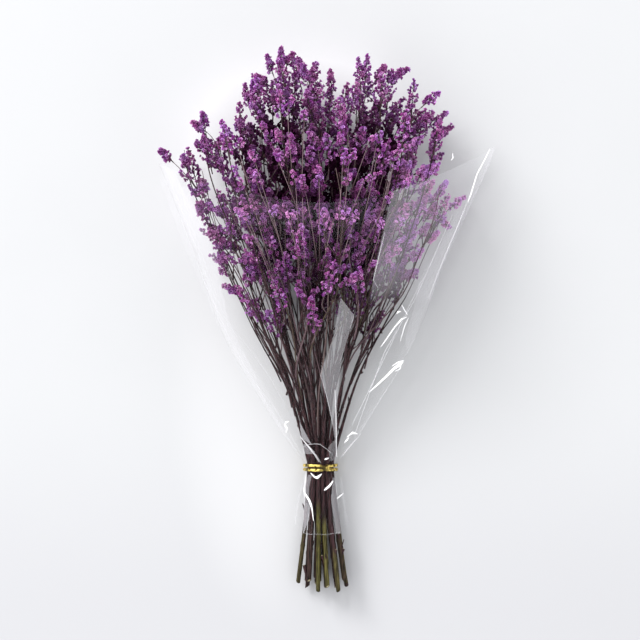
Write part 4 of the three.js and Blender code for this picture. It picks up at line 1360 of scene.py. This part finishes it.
# painted light round the left and upper sides of the head, against the shade it casts
off_x, off_y = 8.0 * (table_x + 0.017), 8.7 * (table_y - 0.152)
beyond_head = off_x * off_x + off_y * off_y - 1.0
painted_light_near_head = beyond_head.maths("POWER", 0.12, beyond_head) * table.ease(table_x, 0.135, 0.02)
sheet_colour = table.blend(painted_light_near_head, sheet_colour, (0.735, 0.733, 0.740, 1))
table_shader = table.principled({"Base Color": sheet_colour, "Roughness": 0.9})
TABLE_HALF, TABLE_DROP = 6.0, 0.0006
corners = np.array([[-1, -1], [1, -1], [1, 1], [-1, 1]]) * TABLE_HALF
mesh = bpy.data.meshes.new("table")
mesh.from_pydata([(x, y, -TABLE_DROP) for x, y in corners], [], [(0, 1, 2, 3)])
mesh.materials.append(table.surface(table_shader))
table_top = bpy.data.objects.new("table", mesh)
scene.collection.objects.link(table_top)

# %% Lamps and surroundings
def lamp(name, place, size, power):
    """A square area lamp at its place, in metres, that looks at the middle of the table."""
    data = bpy.data.lights.new(name, "AREA")
    data.size, data.energy = size, power
    made = bpy.data.objects.new(name, data)
    scene.collection.objects.link(made)
    made.location = place
    made.rotation_mode = "QUATERNION"
    made.rotation_quaternion = (-mathutils.Vector(place)).to_track_quat("-Z", "Y")


lamp("key", (-4.6, 4.9, 3.9), 2.8, 550)
lamp("glint", (-0.9, 1.3, 2.2), 0.25, 5)
world = bpy.data.worlds.new("studio")
world.use_nodes = True
world.node_tree.nodes["Background"].inputs["Color"].default_value = (0.97, 0.98, 1.0, 1)
world.node_tree.nodes["Background"].inputs["Strength"].default_value = 1.17
scene.world = world
scene.view_settings.view_transform = "Standard"

# %% [markdown]
# The film is one thin sheet made into a flattened cone. It is worked out as a grid: one parameter goes
# round it, from the left seam over the front to the right seam and back underneath, and the other goes
# along it. Pleats run from the tie, and a few sharp creases cross the film where it was handled.

# %% Film form
def edge_shares(count, dense_from, dense_to):
    """Shares of the half width from -1 to 1, closer together between two of them."""
    fine = np.linspace(-1, 1, 2001)
    weight = 1 + 1.2 * ((fine > dense_from) & (fine < dense_to))
    total = np.cumsum(weight) - weight[0]
    return np.interp(np.linspace(0, total[-1], count), total, fine)


front_shares = edge_shares(120, 0.38, 1.0)
near_crease = np.argsort(np.abs(front_shares - CREASE_SHARE))[:2]
front_shares[np.sort(near_crease)] = CREASE_SHARE - 0.005, CREASE_SHARE + 0.003
back_shares = np.linspace(1, -1, 50)[1:-1]
low_rows, high_rows = np.arange(HEM_Y + 2.2, -60, 2.2), np.linspace(-59, 112.5, 60)
film_rows = np.concatenate([[HEM_Y, HEM_Y + 0.8], low_rows, high_rows, [MOUTH_FRONT_Y]])
CREASES = (
    (85, 10, 65, -25, 3.0, 2.2),
    (82, -42, 50, -73, 3.5, 2.6),
    (78, -8, 60, 40, 2.0, 1.2),
    (60, -62, 44, -98, 2.2, 1.6),
    (38, 10, 6, -50, 2.5, 1.4),
    (30, -108, 22, -128, 2.0, 1.6),
    (-33, -102, -36, -112, 1.8, 1.4),
    (-18, -125, 14, -143, 1.8, 1.3),
    (-14, -150, -2, -160, 1.6, 1.2),
    (2, -162, 14, -170, 1.6, 1.4),
    (-17, -170, -8, -205, 2.0, 1.5),
    (18, -172, 24, -180, 1.6, 1.4),
    (-120, 60, -60, -60, 2.6, 0.9),
    (-95, 40, -45, -80, 2.0, 0.8),
)


def crease_height(x, y):
    """How far the creases lift the film: each is a straight ridge whose height falls off as the square of
    one less the distance over its width, and fades to nothing at its ends."""
    lift = np.zeros_like(x)
    for x0, y0, x1, y1, width, tall in CREASES:
        way = np.array([x1 - x0, y1 - y0], float)
        length = np.hypot(*way)
        along = ((x - x0) * way[0] + (y - y0) * way[1]) / length**2
        aside = np.abs((x - x0) * way[1] - (y - y0) * way[0]) / length
        fade = np.sqrt(np.clip(4 * along * (1 - along), 0, 1))
        lift = np.maximum(lift, tall * np.maximum(0, 1 - aside / width) ** 2 * fade)
    return lift


def gathers(shares, y, is_front):
    """How the film is pleated near the tie: a share for the strength, and a wave round the bundle."""
    strength = bell(y, TIE_Y, 55) * (1 - 0.75 * bell(y, TIE_Y, 9))
    turn = np.arccos(np.clip(shares, -1, 1)) * np.where(is_front, 1, -1)
    return strength * (np.abs(np.sin(9 * turn + 1.3 * np.sin(3 * turn + 0.02 * y))) ** 0.7 - 0.6)


def front_height(shares, x, y):
    """Height of the film's front with its pleats and creases."""
    level = front_z(shares, y) + 1.9 * gathers(shares, y, True) * np.sqrt(np.maximum(1 - shares**2, 0))
    return level + crease_height(x, y) * (1 - np.abs(shares) ** 6)


def film_grid():
    """Points of the film: a row of shares for each row along it, pulled to the mouth's and the hem's
    outlines."""
    shares = np.concatenate([front_shares, back_shares])[None]
    is_front = (np.arange(shares.shape[1]) < len(front_shares))[None]
    rows = film_rows[:, None]
    mouth_pull = np.clip((rows - 24) / (MOUTH_FRONT_Y - 24), 0, 1)
    hem_pull = np.clip((-176 - rows) / (-176 - HEM_Y), 0, 1)
    reach = np.where(is_front, mouth_y(shares, True), mouth_y(shares, False))
    y = rows + mouth_pull * (reach - MOUTH_FRONT_Y) + hem_pull * HEM_CORNER_RISE * np.abs(shares) ** 3
    x = axis_x(y) + half_sleeve(y) * shares
    pleat = gathers(shares, y, is_front)
    x = x + 2.4 * pleat * shares * (1 - np.abs(shares))
    under = back_z(shares, y) - 0.57 * pleat * np.sqrt(np.maximum(1 - shares**2, 0))
    z = np.where(is_front, front_height(shares, x, y), under)
    front = np.broadcast_to(is_front, x.shape)
    return np.stack([x, y, np.maximum(z, 0.02)], axis=-1), np.broadcast_to(shares, x.shape), front


film_points, film_shares, film_front = film_grid()
print("film grid:", film_points.shape[:2])
FLIPPED = [0, 3, 2, 1]
no_triangles = np.zeros((0, 3), int)
film_quads = grid_faces(*film_points.shape[:2], True)[:, FLIPPED]

# %% [markdown]
# Clear film shows what is behind it, with a veil where it turns a flat face to the light or lies double,
# and a hard white glint on each crease. The glints are painted highlights: white, and glowing a little by
# emission. So the material mixes a see-through shader with a glossy white one, and the mesh carries how much
# of the second shows at each point.

# %% Film finish
CLEAR_VEIL, FRONT_VEIL, DOUBLE_VEIL = 0.002, 0.001, 0.004
FACET_VEIL, SEAM_VEIL, HEM_VEIL, MOUTH_VEIL = 0.155, 0.04, 0.03, 0.010
x, y = film_points[..., 0], film_points[..., 1]
facet = ease(film_shares, CREASE_SHARE - 0.005, CREASE_SHARE + 0.003) * ease(y, 12, 38)
seam = ease(np.abs(film_shares), 0.985, 1.0)
double = ease(np.abs(film_shares), 0.865, 0.875) * ease(y, -90, -30)
hem = np.zeros_like(x)
hem[[0, -1]] = 1.0
haze = film_front * FACET_VEIL * facet * mix(1, 0.6, ease(film_shares, 0.5, 1)) + SEAM_VEIL * seam
haze = haze + HEM_VEIL * hem + MOUTH_VEIL * film_front * ease(y, 60, 108) * (1 - ease(film_shares, 0.3, 0.44))
veil = np.clip(CLEAR_VEIL + FRONT_VEIL * film_front + DOUBLE_VEIL * double + haze, 0, 1)

film = Finish("clear_film")
wrinkle = film.bump(film.grain(45, 3, (1.0, 0.5, 1.0)), 0.004, 0.25)
painted_glint_share = film.attribute("glint")
# painted highlight: where the glint value is high, the film is white and glows by emission
film_gloss = film.principled({
    "Base Color": film.blend(painted_glint_share, (0.90, 0.89, 0.93, 1), (1, 1, 1, 1)),
    "Roughness": 0.12,
    "Normal": wrinkle,
    "Specular IOR Level": 0.5,
    "Emission Color": film.blend(painted_glint_share, (0, 0, 0, 1), (1, 1, 1, 1)),
    "Emission Strength": 0.4,
})
film_clear = film.node("ShaderNodeBsdfTransparent")
edge_on = film.node("ShaderNodeLayerWeight", {}, {"Blend": 0.12, "Normal": wrinkle}, output="Fresnel")
cover = film.attribute("veil") + painted_glint_share * 0.8 + edge_on * 0.13
cover = film.node("ShaderNodeClamp", {}, {"Value": cover})
film_shader = film.node("ShaderNodeMixShader", {}, {0: cover, 1: film_clear, 2: film_gloss})
film_finish = film.surface(film_shader)
film_sleeve = make_piece(
    "film_sleeve", film_points.reshape(-1, 3), film_quads, no_triangles, film_finish, "film",
    {"veil": veil, "glint": 0 * veil},
)
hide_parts("sleeve")

# %% [markdown]
# Handled film keeps its folds. Where it lies double it is milky, and each sharp crease shows as a thin
# bright line or, where it faces the light, as a white streak, here painted white and glowing a little as a
# painted highlight. Folds are patches and creases are thin ribbons, both laid on the film's front. They were
# measured in the picture, where one pixel is one millimetre at the bunch's height, and the picture's middle
# is the origin of the bunch's frame. A fold has how milky it is, and its left and right edges as places down
# and across the picture. A crease has how bright it is, and places across and down with its width.

# %% Folds and creases of the film
FOLDS = (
    (0.19, ((299, 340), (337, 333), (373, 320), (397, 327), (421, 332), (440, 335), (457, 336)),
     ((299, 341), (316, 354), (353, 342.5), (389, 338), (406, 337), (440, 337), (457, 337.5))),
    (0.28, ((422, 299.5), (438, 301.6), (444, 310.5)), ((422, 300), (444, 311.5))),
    (0.20, ((444, 303), (454, 303)), ((444, 307), (451, 314.5), (454, 315))),
    (0.12, ((440, 334), (447, 328), (461, 330)), ((440, 336), (461, 336))),
    (0.16, ((475, 308), (488, 303), (503, 304)), ((475, 312), (488, 309), (503, 309))),
    (0.20, ((478, 333), (500, 331), (534, 336)), ((478, 336), (500, 338), (534, 341))),
    (0.24, ((503, 304), (534, 303)), ((503, 311), (520, 309), (534, 303.5))),
    (0.08, ((478, 340), (529, 346)), ((478, 342), (493, 344), (529, 348))),
    (0.05, ((340, 226), (380, 246), (430, 280)), ((340, 236), (380, 262), (430, 288))),
    (0.10, ((215, 455), (250, 437), (280, 417), (300, 415.5), (320, 410), (340, 405), (353, 407)),
     ((215, 459), (250, 446), (280, 436), (300, 431), (320, 420.5), (340, 414.5), (353, 408))),
    (0.05, ((180, 160), (250, 186), (330, 220)), ((180, 170), (250, 196), (330, 227))),
    (0.04, ((210, 461), (280, 430), (350, 402), (430, 358)),
     ((210, 465), (280, 434), (350, 408), (430, 362))),
)
CREASE_LINES = (
    (1.0, ((403, 361.5, 1.5), (399, 365, 3.4), (394, 368.5, 2.6), (387, 375.5, 2.0), (378, 384, 1.6),
           (369, 392, 0.5))),
    (1.0, ((392, 366, 0.4), (398, 362.2, 1.3), (404, 360.5, 0.5))),
    (0.8, ((402, 362, 0.5), (400, 369, 1.4), (395, 371.5, 0.5))),
    (0.8, ((406.5, 317, 0.5), (401, 319, 1.8), (394, 327, 1.4), (385, 340, 1.2), (380, 347, 0.5))),
    (0.7, ((408, 318, 0.6), (404, 326, 1.2), (400, 341, 0.5))),
    (0.9, ((400, 311.5, 0.8), (397, 312, 1.8), (396, 314, 0.6))),
    (0.8, ((401, 305, 0.5), (403, 309, 1.0), (407, 315, 0.5))),
    (0.9, ((358, 434.5, 0.4), (354, 433, 2.2), (350.5, 434, 0.4))),
    (0.8, ((349, 437, 0.4), (347, 440, 1.8), (344.5, 442.5, 0.6))),
    (0.8, ((347, 437, 0.8), (351, 434, 1.4), (353, 431, 0.4))),
    (0.8, ((289, 421, 0.6), (286, 422, 1.6), (285, 425, 1.2), (287, 428, 1.8), (286, 433, 0.6))),
    (1.0, ((324.5, 459.5, 0.8), (326.5, 458.8, 1.8), (328.8, 458, 0.6))),
    (1.0, ((313.4, 475.5, 0.6), (315.2, 477.3, 1.8), (317.2, 477.6, 2.8), (319.6, 475.8, 2.0),
           (321.7, 473.8, 0.5))),
    (0.8, ((310.5, 473, 0.6), (313, 475.5, 1.4), (315, 478, 0.6))),
    (1.0, ((333, 481, 0.8), (330, 485.5, 2.2), (326, 489, 2.0), (324, 490.5, 0.6))),
    (0.6, ((306, 474, 0.4), (305.3, 479, 0.9), (304.6, 486, 0.5), (303.6, 489, 0.9), (305, 494, 1.5))),
    (0.95, ((305, 494, 1.5), (309, 500, 2.2), (311, 505, 2.0), (312, 509, 1.2), (313.5, 521, 0.5))),
    (0.8, ((337, 499, 0.6), (340, 496.5, 1.2), (343.5, 494, 0.5))),
    (0.8, ((489, 150, 0.5), (484, 160, 0.9), (476, 175, 1.2), (470, 195, 1.5), (467, 203, 0.6))),
    (0.45, ((466, 204, 0.5), (456, 229, 1.1), (445, 255, 1.0), (437, 275, 0.8), (428, 299, 0.5))),
    (0.2, ((401, 367, 0.5), (384, 394, 0.8), (359, 435, 0.5))),
    (0.25, ((355, 434, 0.5), (372, 385, 0.9), (384, 352, 0.9), (414, 300, 0.7), (452, 214, 0.5))),
    (0.25, ((352, 425, 0.4), (376, 375, 0.8), (401, 322, 0.7), (421, 280, 0.4))),
    (0.35, ((342, 457, 0.5), (349, 448, 1.4), (361, 434, 0.5))),
    (0.11, ((180, 214, 0.5), (206, 285, 0.8), (233, 345, 0.8), (262, 395, 0.7), (300, 458, 0.5))),
    (0.10, ((239, 334, 0.4), (270, 376, 0.8), (299, 430, 0.4))),
    (0.10, ((242, 365, 0.4), (279, 414, 0.8), (300, 452, 0.4))),
    (0.09, ((166, 168, 0.4), (184, 214, 0.8), (222, 316, 0.4))),
    (0.08, ((178, 175, 0.4), (196, 235, 0.6), (229, 328, 0.4))),
    (0.7, ((450.5, 156, 0.5), (451, 160, 1.2), (449, 163, 0.5))),
    (0.3, ((303, 447, 0.4), (308, 444.5, 0.6), (314, 443.5, 0.5), (320, 444, 0.6), (327, 449, 0.5),
           (333, 455, 0.4))),
    (0.4, ((311, 451, 0.4), (316, 455, 0.8), (321, 463, 0.4))),
    (0.5, ((300, 436, 0.5), (304, 441, 1.2), (309, 447, 1.4), (313, 452, 1.0), (319, 462, 0.5))),
    (0.13, ((303, 533, 0.4), (309, 534.6, 0.6), (317, 534.2, 0.3), (326, 534.8, 0.6), (340, 532.5, 0.4))),
    (0.5, ((335, 390, 0.5), (336, 420, 1.0), (336.5, 457, 0.8))),
    (0.3, ((320, 373, 0.4), (327, 397, 0.8), (333, 425, 0.5))),
    (0.35, ((383, 235, 0.3), (378, 255, 0.7), (372, 281, 0.6), (377, 289, 0.3))),
)
FOLD_LIFT, CREASE_LIFT, CREASE_THICK, CREASE_SIDES = 0.15, 0.3, 0.2, 6
PATCH_ROWS, PATCH_COLUMNS, PICTURE_MIDDLE = 30, 7, 320.0


def on_film(across_px, down_px, lift):
    """The point of the film's front under a pixel of the picture, lifted off the film."""
    x, y = across_px - PICTURE_MIDDLE, PICTURE_MIDDLE - down_px
    shares = np.clip(sleeve_share(x, y), -0.995, 0.995)
    return np.stack([x, y, front_height(shares, x, y) + lift], axis=-1)


def fold_patch(left, right):
    """A sheet between two edges, each given as places down and across the picture, and its faces."""
    down = np.linspace(left[0][0], left[-1][0], PATCH_ROWS)[:, None]
    edges = [np.interp(down, *np.array(edge, float).T) for edge in (left, right)]
    across_px = mix(*edges, np.linspace(0, 1, PATCH_COLUMNS))
    quads = grid_faces(PATCH_ROWS, PATCH_COLUMNS, False)[:, FLIPPED]
    return on_film(across_px, down + 0 * across_px, FOLD_LIFT), quads


def crease_ribbon(knots):
    """A flat ribbon through places across and down the picture, as wide as each knot says."""
    knots = np.array(knots, float)
    k = np.linspace(0, len(knots) - 1, 8 * (len(knots) - 1) + 1)
    across_px, down, width = (np.interp(k, np.arange(len(knots)), column) for column in knots.T)
    line = on_film(across_px, down, CREASE_LIFT)
    outward = np.tile([[0.0, 0.0, 1.0]], (len(line), 1))
    return strip(line, outward, (width / 2)[:, None], CREASE_THICK, 0.0, CREASE_SIDES)


folds = Gathering()
for strength, left, right in FOLDS:
    points, quads = fold_patch(left, right)
    folds.add(points, quads, no_triangles, veil=strength, glint=0.0)
for strength, knots in CREASE_LINES:
    folds.add(*crease_ribbon(knots), veil=0.0, glint=strength)
film_folds = folds.make("film_folds", film_finish, "film")
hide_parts("sleeve")

# %% [markdown]
# The tie is wire in gold foil. Two flat turns lie side by side round the film, and where its ends meet they
# cross and twist about each other. Foil crumples, so the strips are rippled a little and the finish gives
# them a fine dented look, with painted shade that darkens the gold where the crumple sinks. Where the ends
# cross and twist, and at two spots on the upper side of the turns, one where they cross, the gold is painted
# almost black as shade, which the mesh carries as a value of its own.

# %% Foil finish
foil = Finish("gold_foil")
crumple = foil.ease(foil.grain(420, 4), 0.32, 0.62)
# painted shade: the gold darkens almost to black where the crumple sinks
gold = foil.blend(crumple, (0.10, 0.06, 0.008, 1), (0.95, 0.74, 0.20, 1))
foil_shader = foil.principled({
    "Base Color": foil.blend(foil.attribute("worn"), gold, (0.03, 0.02, 0.006, 1)),
    "Metallic": 0.85,
    "Roughness": 0.18 + 0.3 * crumple,
    "Normal": foil.bump(crumple, 0.0009, 0.7),
})
foil_finish = foil.surface(foil_shader)

# %% Tie form
TIE_GAP, STRIP_HALF, STRIP_THICK, TURN_OFFSET, SECTION_SIDES = 0.35, 1.35, 1.0, 2.1, 10
CROSSING, CROSSING_WIDTH, CROSSING_PULL = 0.4 * np.pi, 0.16, 0.55
TWIST_MIDDLE, TWIST_HALF, TWIST_REACH = 0.44 * np.pi, 0.075 * np.pi, 2.4
tie_parts = Gathering()


def round_bundle(angle, y, rise=0.0):
    """A point on the tie's oval course at an angle, and the way out of it."""
    outward = np.stack([np.cos(angle), 0 * angle, np.sin(angle)], axis=-1)
    reach = TIE_GAP + STRIP_THICK / 2 + rise
    x = TIE_X + (TIE_HALF + reach) * np.cos(angle)
    z = TIE_MIDDLE + (TIE_TOP - TIE_MIDDLE + reach) * np.sin(angle)
    return np.stack([x, TIE_Y + y + 0 * angle, z], axis=-1), outward


for side in (-1, 1):
    angle = np.linspace(0, 2 * np.pi, 90) + CROSSING
    pulled = bell(angle, CROSSING, CROSSING_WIDTH) + bell(angle, CROSSING + 2 * np.pi, CROSSING_WIDTH)
    wave = 0.15 * np.sin(3 * angle + side) + side * TURN_OFFSET * (1 - CROSSING_PULL * pulled)
    line, outward = round_bundle(angle, wave)
    # painted shade: two dark spots on the upper side of the turns, one where they cross
    shaded_spots = bell(np.cos(angle), 0.19, 0.12) + bell(np.cos(angle), -0.78, 0.09)
    worn = ring_values(0.9 * shaded_spots * (np.sin(angle) > 0), SECTION_SIDES)
    tie_parts.add(*strip(line, outward, STRIP_HALF, STRIP_THICK, 0.1, SECTION_SIDES), worn=worn)
    t = np.linspace(-1, 1, 26)
    angle = TWIST_MIDDLE + TWIST_HALF * t
    rise = 0.55 + 0.75 * side * np.cos(np.pi / 2 * t)
    line, outward = round_bundle(angle, side * TWIST_REACH * np.sin(np.pi / 2 * t), rise)
    # painted shade where the ends cross and twist
    worn = ring_values(0.95 * bell(t, 0, 1.2), SECTION_SIDES)
    tie_parts.add(*strip(line, outward, 1.0, 1.0, 0.2, SECTION_SIDES), worn=worn)
foil_tie = tie_parts.make("foil_tie", foil_finish, "foil")
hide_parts("tie")

print(triangle_count(), "triangles in", len(added), "pieces")
